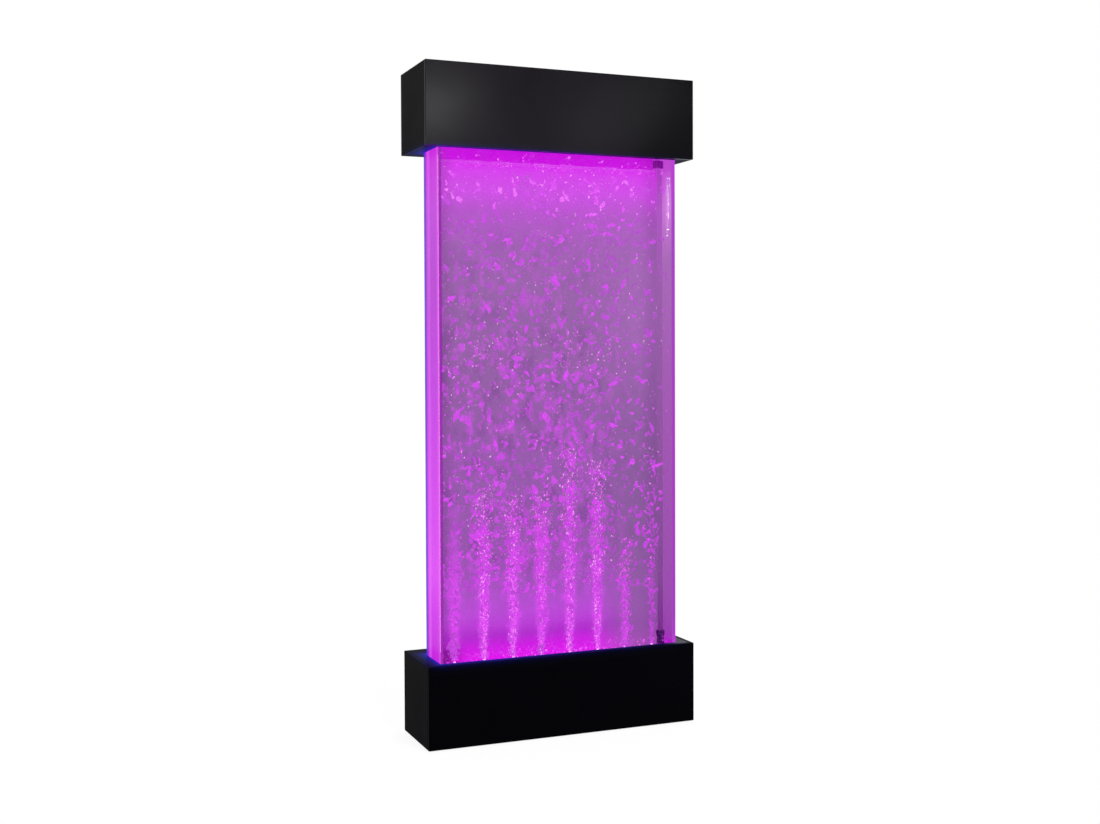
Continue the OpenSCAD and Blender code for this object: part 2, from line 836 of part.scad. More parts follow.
// Column of close bubbles: lumps that widen, wander and spread as they rise, grown by an extra radius
module bubble_column(i, extra) {
    top_r = column_top_r(i);
    high = column_h * top_r / column_high_r;
    post(0, 0, -extra, 2 * column_low_r, tip_r + extra);
    for (k = [1 : column_lumps]) {
        rise = k / column_lumps;
        turn = k * lump_turn + i * column_turn;
        r = (column_low_r + (top_r - column_low_r) * rise) * (1 + column_ripple * sin(k * ripple_turn));
        translate([
            column_sway * rise * sin(turn),
            column_sway * rise * cos(turn),
            column_low_r + high * pow(rise, column_gather)
        ]) sphere(r = r + extra);
    }
}

// The water, with the bubble columns as solids of their own in the room that it leaves them
module water() {
    color("#a55fba", 0.8) difference() {
        block([-water_x, water_front, plate_top], [water_x, water_back, water_top]);
        for (x = nozzle_x) {
            post(x, tank_y, plate_top - past, plate_top + flange_h + fit_gap, flange_r + fit_gap);
            post(x, tank_y, plate_top, plate_top + nozzle_h + fit_gap, stem_r + fit_gap);
        }
        at_columns() bubble_column($column, fit_gap);
        post(conduit_x, tank_y, plate_top - past, plate_top + gland_h + fit_gap, gland_r + fit_gap);
        post(conduit_x, tank_y, plate_top, water_top + past, conduit_r + fit_gap);
        post(drain_x, tank_y, plate_top - past, plate_top + flange_h + fit_gap, drain_flange_r + fit_gap);
    }
    color("#e08cf2") at_columns() bubble_column($column, 0);
}

module bubble_nozzles() {
    color("#e6e2ee") for (x = nozzle_x) translate([x, tank_y, 0]) difference() {
        union() {
            post(0, 0, nozzle_tail_z - barb_l, nozzle_tail_z, barb_r);
            post(0, 0, nozzle_tail_z, plate_top, stem_r);
            post(0, 0, plate_top, plate_top + flange_h, flange_r);
            translate([0, 0, plate_top + flange_h])
                cylinder(h = nozzle_h - flange_h, r1 = stem_r, r2 = tip_r);
        }
        post(0, 0, nozzle_tail_z - barb_l - past, plate_top + nozzle_h + past, bore_r);
    }
}

module nozzle_nuts() {
    color("#c9a35c") for (x = nozzle_x) translate([x, tank_y, plate_z - nut_h]) difference() {
        cylinder(h = nut_h, r = stem_r + nut_edge, $fn = 6);
        translate([0, 0, -past]) cylinder(h = nut_h + 2 * past, r = stem_r + run_gap);
    }
}

module air_manifold() {
    half = manifold_w / 2;
    mid_z = manifold_z + half;
    hole_r = barb_r + run_gap;
    color("#b7babf") difference() {
        block([-manifold_x, tank_y - half, manifold_z], [manifold_x, tank_y + half, manifold_top]);
        rod_x(manifold_end - manifold_x, manifold_x - manifold_end, tank_y, mid_z, manifold_bore);
        for (x = nozzle_x) post(x, tank_y, mid_z, manifold_top + past, hole_r);
        for (x = [-pump_x, pump_x]) post(x, tank_y, manifold_z - past, mid_z, hole_r);
    }
}

module hose_barbs() {
    up_z = manifold_top - barb_root;
    down_z = manifold_z + barb_root;
    color("#c9a35c") {
        for (x = nozzle_x) sleeve(x, tank_y, up_z, manifold_top + barb_l, barb_r, bore_r);
        for (x = [-pump_x, pump_x]) sleeve(x, tank_y, manifold_z - barb_l, down_z, barb_r, bore_r);
    }
}

module manifold_clips() {
    half = clip_w / 2;
    side = manifold_w / 2;
    top = manifold_z + clip_h;
    color("#3a3b40") for (x = [-clip_x, clip_x]) translate([x, tank_y, 0]) difference() {
        block([-half, -side - clip_t, shelf_top], [half, side + clip_t, top]);
        block([-half - past, -side, manifold_z], [half + past, side, top + past]);
    }
}

module air_risers() {
    color("#dfe4ea", 0.6) for (x = nozzle_x)
        sleeve(x, tank_y, manifold_top + fit_gap, nozzle_tail_z - fit_gap, tube_r, barb_r + hose_gap);
}

module air_feed_tubes() {
    color("#dfe4ea", 0.6) for (x = [-pump_x, pump_x]) {
        sleeve(x, tank_y, pump_top + fit_gap, valve_z - fit_gap, tube_r, barb_r + hose_gap);
        sleeve(x, tank_y, valve_z + valve_h + fit_gap, manifold_z - fit_gap, tube_r, barb_r + hose_gap);
    }
}

module check_valves() {
    color("#e8e8ea") for (x = [-pump_x, pump_x]) difference() {
        union() {
            post(x, tank_y, valve_z, valve_z + valve_h, valve_r);
            post(x, tank_y, valve_z - valve_tail, valve_z + valve_h + valve_tail, barb_r);
        }
        post(x, tank_y, valve_z - valve_tail - past, valve_z + valve_h + valve_tail + past, bore_r);
    }
}

module air_pumps() {
    lower_h = pump_h / 2;
    y0 = pump_y - pump_d / 2;
    neck = [pump_w - 2 * pump_inset, pump_d - 2 * pump_inset, lower_h];
    color("#232428") for (x = [-pump_x, pump_x]) difference() {
        union() {
            x0 = x - pump_w / 2;
            soft_block([x0, y0, pump_z], [pump_w, pump_d, lower_h - pump_seam], pump_corner);
            soft_block([x0 + pump_inset, y0 + pump_inset, pump_z], neck, pump_corner - pump_inset);
            soft_block([x0, y0, pump_z + lower_h], [pump_w, pump_d, pump_h - lower_h], pump_corner);
            sleeve(x, tank_y, pump_top, pump_top + spigot_l, barb_r, bore_r);
        }
        rod_y(x, dial_face_y - dial_shaft_l - fit_gap, dial_face_y + past, dial_z, dial_shaft_r + run_gap);
    }
}

module pump_feet() {
    foot_x = pump_w / 2 - pump_foot_in;
    foot_y = pump_d / 2 - pump_foot_in;
    color("#101010") for (x = [-pump_x, pump_x], fx = [-1, 1], fy = [-1, 1])
        post(x + fx * foot_x, pump_y + fy * foot_y, bay_z, pump_z, pump_foot_r);
}

// Flow dial of the pump at x, with a ring of grip flutes and a pointer
module pump_dial(x) {
    color("#5b5d63") translate([x, dial_face_y, dial_z]) rotate([-90, 0, 0]) {
        difference() {
            translate([0, 0, fit_gap]) cylinder(h = dial_t, r = dial_r);
            for (i = [0 : dial_flutes - 1]) rotate((i + 0.5) * 360 / dial_flutes)
                translate([dial_r + flute_out, 0, fit_gap - past])
                    cylinder(h = dial_t + 2 * past, r = flute_r);
        }
        translate([0, 0, -dial_shaft_l]) cylinder(h = dial_shaft_l + 2 * fit_gap, r = dial_shaft_r);
        translate([-pointer_w / 2, pointer_in - dial_r, dial_t + fit_gap])
            cube([pointer_w, dial_r - pointer_in - past, pointer_h]);
    }
}

module pump_dial_left() {
    pump_dial(-pump_x);
}

module pump_dial_right() {
    pump_dial(pump_x);
}

// Children in each light channel's own frame: +Z is where its light goes, and its mouth is at z = 0
module at_channels() {
    for (s = [-1, 1]) translate([0, tank_y + s * channel_y, plate_z]) children();
    translate([0, top_channel_y, brace_top]) rotate([180, 0, 0]) children();
}

module light_channels() {
    color("#aeb1b6") at_channels() difference() {
        block([-channel_x, -channel_w / 2, -channel_h], [channel_x, channel_w / 2, 0]);
        block(
            [-channel_x - past, -channel_w / 2 + channel_wall, -channel_h + channel_wall],
            [channel_x + past, channel_w / 2 - channel_wall, past]
        );
    }
}

module light_strips() {
    strip_x = channel_x - strip_gap;
    strip_z = channel_wall - channel_h;
    chips = floor(2 * (strip_x - chip_w) / chip_pitch);
    color("#f2f2ff") at_channels() {
        block([-strip_x, -strip_w / 2, strip_z], [strip_x, strip_w / 2, strip_z + strip_t]);
        for (i = [0 : chips]) translate([(i - chips / 2) * chip_pitch, 0, strip_z + strip_t])
            block([-chip_w / 2, -chip_w / 2, 0], [chip_w / 2, chip_w / 2, chip_h]);
    }
}

module light_diffusers() {
    color("#e4dcff") at_channels() block(
        [-channel_x, -channel_w / 2 + channel_wall, -diffuser_t],
        [channel_x, channel_w / 2 - channel_wall, 0]
    );
}

module cable_conduit() {
    color("#7c5a93") sleeve(conduit_x, tank_y, plate_z - conduit_tail, conduit_top, conduit_r, conduit_bore);
}

// Lower gland on the tank's floor, its nut underneath, and the clip that ties the conduit to the side
module conduit_glands() {
    clip_z = soffit_z - tie_clip_drop;
    clip_top = clip_z + tie_clip_h;
    gland_top = plate_top + gland_h;
    bore = conduit_r + run_gap;
    color("#141018") translate([conduit_x, tank_y, 0]) {
        difference() {
            union() {
                translate([0, 0, plate_top]) cylinder(h = gland_nut_h, r = gland_r, $fn = 6);
                post(0, 0, plate_top, gland_top - gland_cap_h, gland_r - gland_neck_in);
                post(0, 0, gland_top - gland_cap_h, gland_top, gland_r - gland_cap_in);
            }
            post(0, 0, plate_top - past, gland_top + past, bore);
        }
        sleeve(0, 0, plate_z - gland_tail_h, plate_z, gland_r - gland_tail_in, bore);
        difference() {
            union() {
                post(0, 0, clip_z, clip_top, conduit_r + tie_clip_t);
                block([0, -tie_clip_w / 2, clip_z], [conduit_in, tie_clip_w / 2, clip_top]);
            }
            post(0, 0, clip_z - past, clip_top + past, bore);
        }
    }
}

module drain_bulkhead() {
    flange_top = plate_top + flange_h;
    stem_z = plate_z - drain_stem_l;
    color("#3a3b40") translate([drain_x, tank_y, 0]) difference() {
        union() {
            post(0, 0, plate_top, flange_top, drain_flange_r);
            post(0, 0, stem_z, plate_top, drain_stem_r);
            translate([0, 0, plate_z - drain_nut_h]) cylinder(h = drain_nut_h, r = drain_flange_r, $fn = 6);
        }
        post(0, 0, pipe_top, flange_top + past, pipe_bore);
        post(0, 0, stem_z - past, pipe_top + fit_gap, pipe_r + run_gap);
    }
}

// Line of the drain pipe as a solid of radius r, carried on past its ends by a reach
module drain_run(r, reach) {
    post(drain_x, tank_y, pipe_z + pipe_bend, pipe_top + reach, r);
    translate([drain_x, tank_y + pipe_bend, pipe_z + pipe_bend]) rotate([0, 90, 0]) rotate([0, 0, -90])
        rotate_extrude(angle = 90) translate([pipe_bend, 0]) circle(r = r);
    rod_y(drain_x, tank_y + pipe_bend, rear_face_y + reach, pipe_z, r);
}

module drain_pipe() {
    color("#d8d9de") difference() {
        drain_run(pipe_r, 0);
        drain_run(pipe_bore, past);
    }
}

module drain_valve() {
    color("#c9a35c") difference() {
        union() {
            rod_y(drain_x, rear_face_y, valve_end_y, pipe_z, valve_body_r);
            post(drain_x, valve_y, pipe_z - spout_drop, pipe_z, pipe_r + spout_edge);
            post(drain_x, valve_y, tail_z, pipe_z - spout_drop, tail_r);
        }
        rod_y(drain_x, rear_face_y - past, valve_y, pipe_z, pipe_bore);
        post(drain_x, valve_y, tail_z - past, pipe_z, tail_r - tail_wall);
        rod_y(drain_x, valve_end_y - lever_stem_in, valve_end_y + past, pipe_z, lever_stem_r + run_gap);
    }
}

module drain_lever() {
    stem_y = lever_y - lever_stem_in;
    color("#b3262b") {
        rod_y(drain_x, stem_y, lever_y + lever_t + lever_stem_out, pipe_z, lever_stem_r);
        rod_y(drain_x, lever_y, lever_y + lever_t, pipe_z, valve_body_r - spout_edge - lever_stem_out);
        translate([drain_x, lever_y, pipe_z]) block([0, 0, -lever_w / 2], [lever_l, lever_t, lever_w / 2]);
        rod_y(drain_x + lever_l, lever_y, lever_y + lever_t, pipe_z, lever_w / 2);
    }
}

module power_inlet() {
    half_w = inlet_w / 2;
    half_h = inlet_h / 2;
    edge_w = half_w + inlet_edge;
    edge_h = half_h + inlet_edge;
    well_w = rocker_w / 2 + rocker_gap;
    well_h = rocker_h / 2 + 2 * rocker_gap;
    pin_x = well_w + rocker_pin_l;
    color("#1a1a1c") translate([inlet_x, rear_face_y, 0]) difference() {
        translate([0, 0, inlet_z]) {
            block([-half_w, -inlet_l, -half_h], [half_w, 0, half_h]);
            block([-edge_w, 0, -edge_h], [edge_w, inlet_flange_t, edge_h]);
        }
        translate([0, inlet_flange_t, socket_z])
            block([-socket_w / 2, -socket_l, -socket_h / 2], [socket_w / 2, past, socket_h / 2]);
        translate([0, inlet_flange_t, rocker_z])
            block([-well_w, -rocker_well, -well_h], [well_w, past, well_h]);
        rod_x(-pin_x, pin_x, rocker_out, rocker_z, rocker_pin_r + run_gap);
    }
    color("#c7c8cc") for (p = socket_pin_place)
        translate([inlet_x + p[0], rear_face_y + inlet_flange_t - socket_l - past, socket_z + p[1]])
            translate([0, socket_pin[1] / 2, 0]) cube(socket_pin, center = true);
}

module power_rocker() {
    half = rocker_h / 2;
    pin_x = rocker_w / 2 + rocker_pin_l;
    side = [
        [-rocker_root, past - half], [rocker_top, -half], [rocker_dip, 0], [rocker_top, half],
        [-rocker_root, half - past]
    ];
    color("#b3262b") translate([inlet_x, rocker_y, rocker_z]) rotate([rocker_tilt, 0, 0]) {
        rod_x(-pin_x, pin_x, 0, 0, rocker_pin_r);
        translate([-rocker_w / 2, 0, 0]) rotate([90, 0, 90]) linear_extrude(height = rocker_w) polygon(side);
    }
}

module terminal_block() {
    top = block_size[2];
    screw_x = (block_size[0] - (block_screws - 1) * block_screw_pitch) / 2;
    screw_y = block_size[1] / 2 + block_screw_back;
    color("#e9e6dc") translate(block_lo) difference() {
        cube(block_size);
        for (i = [0 : block_screws - 1])
            translate([screw_x + i * block_screw_pitch, screw_y, 0])
                post(0, 0, top - block_screw_h, top + past, block_screw_r);
    }
}

module power_supply() {
    x0 = (supply_size[0] - supply_slot[0]) / 2;
    y0 = (supply_size[1] - (supply_slots - 1) * supply_slot_pitch - supply_slot[1]) / 2;
    color("#c9cbd0") translate(supply_lo) difference() {
        cube(supply_size);
        for (i = [0 : supply_slots - 1])
            translate([x0, y0 + i * supply_slot_pitch, supply_size[2] - supply_slot[2]])
                cube(supply_slot + [0, 0, past]);
    }
}

module light_controller() {
    color("#ececee") soft_block(control_lo, control_size, control_corner);
}

module mains_leads() {
    color("#1a1a1c") {
        lead(inlet_lead, lead_r);
        lead(supply_lead, lead_r);
        lead(near_pump_lead, lead_r);
        lead(far_pump_lead, lead_r);
    }
}

module light_leads() {
    color("#ececee") {
        lead(link_lead, thin_lead_r);
        lead(top_lead, thin_lead_r);
        lead(back_strip_lead, thin_lead_r);
        lead(front_strip_lead, thin_lead_r);
    }
}

module canopy_front_board() {
    color("#26252a") block([-box_w / 2, front_y, soffit_z], [box_w / 2, in_front_y, total_h]);
}

module canopy_side_boards() {
    color("#26252a") for (s = [-1, 1]) translate([s * (in_x + board_t / 2), 0, 0])
        block([-board_t / 2, in_front_y, soffit_z], [board_t / 2, back_y, total_h]);
}

module canopy_back_board() {
    color("#1b1b1f") difference() {
        block([-in_x, in_back_y, soffit_z], [in_x, back_y, total_h]);
        for (s = [-1, 1]) rod_y(s * tie_pitch / 2, in_back_y - past, back_y + past, tie_z, tie_r);
        at_canopy_screws() screw_room();
    }
}

module canopy_soffit() {
    color("#151519") difference() {
        block([-in_x, in_front_y, soffit_z], [in_x, in_back_y, soffit_top]);
        tank_slot(soffit_z);
    }
}

module canopy_lid() {
    color("#1b1b1f") difference() {
        block([-in_x, in_front_y, lid_under], [in_x, in_back_y, lid_top]);
        block([-hatch_w / 2, hatch_front, lid_under - past], [hatch_w / 2, hatch_back, lid_top + past]);
        at_lid_screws() screw_room();
    }
}

module canopy_bearers() {
    color("#b98d5a") for (x = [-bearer_x, bearer_x]) translate([x, 0, 0])
        block([-bearer_w / 2, in_front_y, tank_top], [bearer_w / 2, in_back_y, tank_top + bearer_t]);
}

module hatch_battens() {
    y0 = hatch_front - batten_lap;
    y1 = hatch_back + batten_lap;
    color("#b98d5a") for (s = [-1, 1]) translate([s * (hatch_w / 2 - batten_lap + batten_w / 2), 0, 0])
        block([-batten_w / 2, y0, lid_under - batten_h], [batten_w / 2, y1, lid_under]);
}

module fill_hatch() {
    color("#1b1b1f") difference() {
        block(
            [-hatch_w / 2 + panel_gap, hatch_front + panel_gap, lid_under + fit_gap],
            [hatch_w / 2 - panel_gap, hatch_back - panel_gap, lid_top]
        );
        post(0, finger_y, lid_under - past, lid_top + past, finger_r);
    }
}

base_front_board();
base_side_boards();
base_back_board();
base_floor_board();
base_deck();
corner_cleats();
base_feet();
case_screws();
tank_trestles();
tank_shelf();
tank_pad();
service_door();
door_knob();
door_catches();
hinge_fixed_leaves();
hinge_pins();
door_hinge_leaves();
hatch_hinge_leaves();
tank_front_sheet();
tank_back_sheet();
tank_side_sheets();
tank_floor_plate();
tank_brace_plate();
water();
bubble_nozzles();
nozzle_nuts();
air_manifold();
hose_barbs();
manifold_clips();
air_risers();
air_feed_tubes();
check_valves();
air_pumps();
pump_feet();
pump_dial_left();
pump_dial_right();
light_channels();
light_strips();
light_diffusers();
cable_conduit();
conduit_glands();
drain_bulkhead();
drain_pipe();
drain_valve();
drain_lever();
power_inlet();
power_rocker();
terminal_block();
power_supply();
light_controller();
mains_leads();
light_leads();
canopy_front_board();
canopy_side_boards();
canopy_back_board();
canopy_soffit();
canopy_lid();
canopy_bearers();
hatch_battens();
fill_hatch();
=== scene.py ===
# Bubble wall: a lit tank of water and rising bubbles between a black base and a black canopy
import math

import bmesh
import bpy
from mathutils import Matrix, Vector


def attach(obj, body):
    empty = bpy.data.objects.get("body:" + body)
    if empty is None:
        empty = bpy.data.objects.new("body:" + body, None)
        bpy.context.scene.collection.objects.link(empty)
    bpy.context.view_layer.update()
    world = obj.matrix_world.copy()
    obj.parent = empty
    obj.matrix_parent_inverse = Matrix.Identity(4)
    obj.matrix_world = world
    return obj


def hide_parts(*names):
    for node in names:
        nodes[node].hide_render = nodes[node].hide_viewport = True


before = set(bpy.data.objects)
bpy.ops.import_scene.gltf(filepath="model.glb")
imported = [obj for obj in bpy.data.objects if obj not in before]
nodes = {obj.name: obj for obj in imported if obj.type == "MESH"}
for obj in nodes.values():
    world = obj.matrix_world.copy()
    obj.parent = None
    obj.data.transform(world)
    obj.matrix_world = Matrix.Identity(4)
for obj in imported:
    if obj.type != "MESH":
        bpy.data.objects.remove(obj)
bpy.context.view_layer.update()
scene = bpy.context.scene
print("frame: loaded", len(nodes), "nodes")


# small helpers

def screen(red, green, blue):
    # colour as a screen shows it, 0 to 255, turned into the scene's linear values
    def one(value):
        value = value / 255
        return value / 12.92 if value <= 0.04045 else ((value + 0.055) / 1.055) ** 2.4
    return (one(red), one(green), one(blue), 1.0)


black, white = (0, 0, 0, 1), (1, 1, 1, 1)


def addNode(tree, kind, **settings):
    node = tree.nodes.new(kind)
    for name, value in settings.items():
        setattr(node, name, value)
    return node


def feed(tree, socket, value):
    # joins a socket to another one, or writes a plain value into it
    if isinstance(value, bpy.types.NodeSocket):
        tree.links.new(value, socket)
    else:
        socket.default_value = value


def give(tree, node, **values):
    # feeds a node's inputs by their names
    for label, value in values.items():
        feed(tree, node.inputs[label.replace("_", " ")], value)


def feedAll(tree, node, values):
    for socket, value in zip(node.inputs, values):
        feed(tree, socket, value)
    return node.outputs[0]


def calc(tree, operation, *values, clamp=False):
    return feedAll(tree, addNode(tree, "ShaderNodeMath", operation=operation, use_clamp=clamp), values)


def plus(tree, total, *values):
    # sum, taken from left to right
    for value in values:
        total = calc(tree, "ADD", total, value)
    return total


def times(tree, total, *values):
    # product, taken from left to right
    for value in values:
        total = calc(tree, "MULTIPLY", total, value)
    return total


def minus(tree, first, second):
    return calc(tree, "SUBTRACT", first, second)


def vectorCalc(tree, operation, *values):
    return feedAll(tree, addNode(tree, "ShaderNodeVectorMath", operation=operation), values)


def joined(tree, *values):
    return feedAll(tree, addNode(tree, "ShaderNodeCombineXYZ"), values)


def remap(tree, value, fromLow, fromHigh, toLow=0.0, toHigh=1.0, smooth=False):
    node = addNode(tree, "ShaderNodeMapRange", clamp=True)
    node.interpolation_type = "SMOOTHSTEP" if smooth else "LINEAR"
    return feedAll(tree, node, (value, fromLow, fromHigh, toLow, toHigh))


def blend(tree, share, first, second, mode="MIX"):
    node = addNode(tree, "ShaderNodeMix", data_type="RGBA", blend_type=mode)
    # the colour sockets of a mix node are its seventh and eighth
    for place, value in ((0, share), (6, first), (7, second)):
        feed(tree, node.inputs[place], value)
    return node.outputs[2]


def ramp(tree, value, stops):
    node = addNode(tree, "ShaderNodeValToRGB")
    elements = node.color_ramp.elements
    while len(elements) > 1:
        elements.remove(elements[-1])
    elements[0].position, elements[0].color = stops[0]
    for position, colour in stops[1:]:
        elements.new(position).color = colour
    feed(tree, node.inputs[0], value)
    return node.outputs[0]


def split(tree, vector):
    node = addNode(tree, "ShaderNodeSeparateXYZ")
    feed(tree, node.inputs[0], vector)
    return node.outputs


def objectPlace(tree):
    return addNode(tree, "ShaderNodeTexCoord").outputs["Object"]


def stretched(tree, vector, scale):
    return vectorCalc(tree, "MULTIPLY", vector, scale)


def noise(tree, vector, scale, detail=2.0, rough=0.5, warp=0.0, output=0):
    node = addNode(tree, "ShaderNodeTexNoise")
    give(tree, node, Vector=vector, Scale=scale, Detail=detail, Roughness=rough, Distortion=warp)
    return node.outputs[output]


def wandering(tree, vector, scale):
    # a soft random direction, each part of it from about -0.5 to 0.5
    return vectorCalc(tree, "SUBTRACT", noise(tree, vector, scale, output="Color"), (0.5, 0.5, 0.5))


def blotches(tree, vector, scale, core, edge, share, soft=0.1, faint=0.45):
    # soft round patches in a share of a grid of cells: 1 in their middle and 0 outside
    cells = addNode(tree, "ShaderNodeTexVoronoi")
    give(tree, cells, Vector=vector, Scale=scale)
    lot = split(tree, cells.outputs["Color"])
    picked = remap(tree, lot[0], 1 - share, 1 - share + soft)
    body = remap(tree, cells.outputs["Distance"], core, edge, 1.0, 0.0, smooth=True)
    return times(tree, body, picked, remap(tree, lot[1], 0.0, 1.0, faint, 1.0))


def bump(tree, height, strength, distance):
    node = addNode(tree, "ShaderNodeBump")
    give(tree, node, Strength=strength, Distance=distance, Height=height)
    return node.outputs[0]


def newMaterial(name, **plain):
    # a Principled material; plain values go straight onto the shader's sockets
    material = bpy.data.materials.new(name)
    material.use_nodes = True
    shader = material.node_tree.nodes["Principled BSDF"]
    for label, value in plain.items():
        shader.inputs[label.replace("_", " ")].default_value = value
    return material, material.node_tree, shader


def newGroup(name, inputs, outputs):
    # a shader node group; an input's value makes the kind of its socket
    tree = bpy.data.node_groups.new(name, "ShaderNodeTree")
    kinds = {1: "Float", 3: "Vector", 4: "Color"}
    for label, value in inputs.items():
        kind = kinds[len(value) if isinstance(value, tuple) else 1]
        socket = tree.interface.new_socket(label, in_out="INPUT", socket_type="NodeSocket" + kind)
        socket.default_value = value
    for label, kind in outputs.items():
        tree.interface.new_socket(label, in_out="OUTPUT", socket_type="NodeSocket" + kind)
    return tree, addNode(tree, "NodeGroupInput").outputs, addNode(tree, "NodeGroupOutput").inputs


def useGroup(tree, group, **values):
    node = addNode(tree, "ShaderNodeGroup")
    node.node_tree = group
    give(tree, node, **values)
    return node.outputs


def dress(material, *names):
    # gives CAD nodes or new pieces their finish
    for name in names:
        piece = nodes.get(name) or bpy.data.objects[name]
        piece.data.materials.clear()
        piece.data.materials.append(material)


def linked(name, data):
    made = bpy.data.objects.new(name, data)
    scene.collection.objects.link(made)
    return made


def newPiece(name, mesh, body="root", standsFor=()):
    piece = linked(name, mesh)
    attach(piece, body)
    if standsFor:
        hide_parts(*standsFor)
    return piece


# camera, floor and light

cameraPlace = {
    "location": (-1.4433, -3.5015, 1.0380),
    "yaw": 22.373,  # degrees to the right of the object's depth
    "pitch": -1.324,
    "roll": -0.207,
    "sensor": 36,
    "lens": 44.69,
    "shiftX": 0.0009,
    "shiftY": -0.024,
}


def makeCamera(place):
    yaw, pitch, roll = (math.radians(place[key]) for key in ("yaw", "pitch", "roll"))
    forward = Vector((math.sin(yaw) * math.cos(pitch), math.cos(yaw) * math.cos(pitch), math.sin(pitch)))
    side = Vector((math.cos(yaw), -math.sin(yaw), 0))
    up = side.cross(forward)
    right = side * math.cos(roll) + up * math.sin(roll)
    top = up * math.cos(roll) - side * math.sin(roll)
    camera = linked("camera", bpy.data.cameras.new("camera"))
    turn = Matrix((right, top, -forward)).transposed().to_4x4()
    camera.matrix_world = Matrix.Translation(Vector(place["location"])) @ turn
    camera.data.sensor_width = place["sensor"]
    camera.data.lens = place["lens"]
    camera.data.shift_x = place["shiftX"]
    camera.data.shift_y = place["shiftY"]
    scene.camera = camera


makeCamera(cameraPlace)
scene.view_settings.view_transform = "Standard"

studio = {
    "ambient": 0.55,
    "floorPaint": (0.9, 0.9, 0.9, 1),
    "floorWhite": 0.9,
    "fade": (0.45, 1.3),  # distances over which the floor fades to pure white
    "floorSize": 14.0,
}


def seenDirectly(tree):
    # 1 for what the camera sees, also by way of gloss or glass
    path = addNode(tree, "ShaderNodeLightPath").outputs
    seen = calc(tree, "MAXIMUM", path["Is Camera Ray"], path["Is Glossy Ray"])
    return calc(tree, "MAXIMUM", seen, path["Is Transmission Ray"])


def makeStudio(plan):
    world = bpy.data.worlds.new("studio")
    scene.world = world
    world.use_nodes = True
    tree = world.node_tree
    strength = remap(tree, seenDirectly(tree), 0, 1, plan["ambient"], 1)
    give(tree, tree.nodes["Background"], Color=white, Strength=strength)

    mesh = bpy.data.meshes.new("floor")
    half = plan["floorSize"] / 2
    corners = [(-half, -half, 0), (half, -half, 0), (half, half, 0), (-half, half, 0)]
    mesh.from_pydata(corners, [], [(0, 1, 2, 3)])
    floor = linked("floor", mesh)
    material = bpy.data.materials.new("pale floor")
    material.use_nodes = True
    tree = material.node_tree
    tree.nodes.remove(tree.nodes["Principled BSDF"])
    paint = addNode(tree, "ShaderNodeBsdfDiffuse")
    paint.inputs["Color"].default_value = plan["floorPaint"]
    light = addNode(tree, "ShaderNodeEmission")
    mix = addNode(tree, "ShaderNodeMixShader")
    distance = addNode(tree, "ShaderNodeVectorMath", operation="LENGTH")
    feed(tree, distance.inputs[0], objectPlace(tree))
    far = remap(tree, distance.outputs["Value"], *plan["fade"], plan["floorWhite"], 1.0, smooth=True)
    mixed = feedAll(tree, mix, (times(tree, seenDirectly(tree), far), paint.outputs[0], light.outputs[0]))
    give(tree, tree.nodes["Material Output"], Surface=mixed)
    mesh.materials.append(material)


# each lamp's place, aim, size, spin in degrees and watts
lamps = {
    "keyLamp": ((0.3, -2.8, 3.5), (0, 0, 1.4), (1.2, 1.2), 0, 110),
    "glossLamp": ((0.66, -3.6, 2.33), (-0.36, 0, 1.65), (0.5, 0.26), 0, 30),
    "sheenLamp": ((1.80, -3.6, 2.36), (0.15, 0, 1.67), (0.7, 0.07), 24, 12),
    "edgeLamp": ((2.145, -3.6, 1.87), (0.34, 0, 1.44), (0.014, 0.34), 0, 2.6),
    "leftLamp": ((-3.2, -1.6, 2.6), (0, 0, 1.0), (1.6, 1.6), 0, 26),
    "topLamp": ((0.6, 1.2, 4.0), (0, 0, 1.0), (2.4, 2.4), 0, 70),
    "backLamp": ((2.2, 3.0, 2.4), (0, 0, 0.9), (1.8, 1.8), 0, 50),
}


def makeLamps(plan):
    for name, (place, aim, size, spin, watts) in plan.items():
        data = bpy.data.lights.new(name, "AREA")
        data.shape = "RECTANGLE"
        data.size, data.size_y = size
        data.energy = watts
        holder = linked(name, data)
        direction = Vector(aim) - Vector(place)
        turn = direction.to_track_quat("-Z", "Y").to_matrix().to_4x4()
        spinTurn = Matrix.Rotation(math.radians(spin), 4, "Z")
        holder.matrix_world = Matrix.Translation(Vector(place)) @ turn @ spinTurn


makeStudio(studio)
makeLamps(lamps)
print("studio: camera, floor,", len(lamps), "lamps")


# shared effects; a span is given as from and to, and where needed the values at both

lightSpillPlan = {"ripple": 9.0, "rippleShare": 0.8, "rippleLeast": 0.6, "ends": (-0.36, 0.36)}


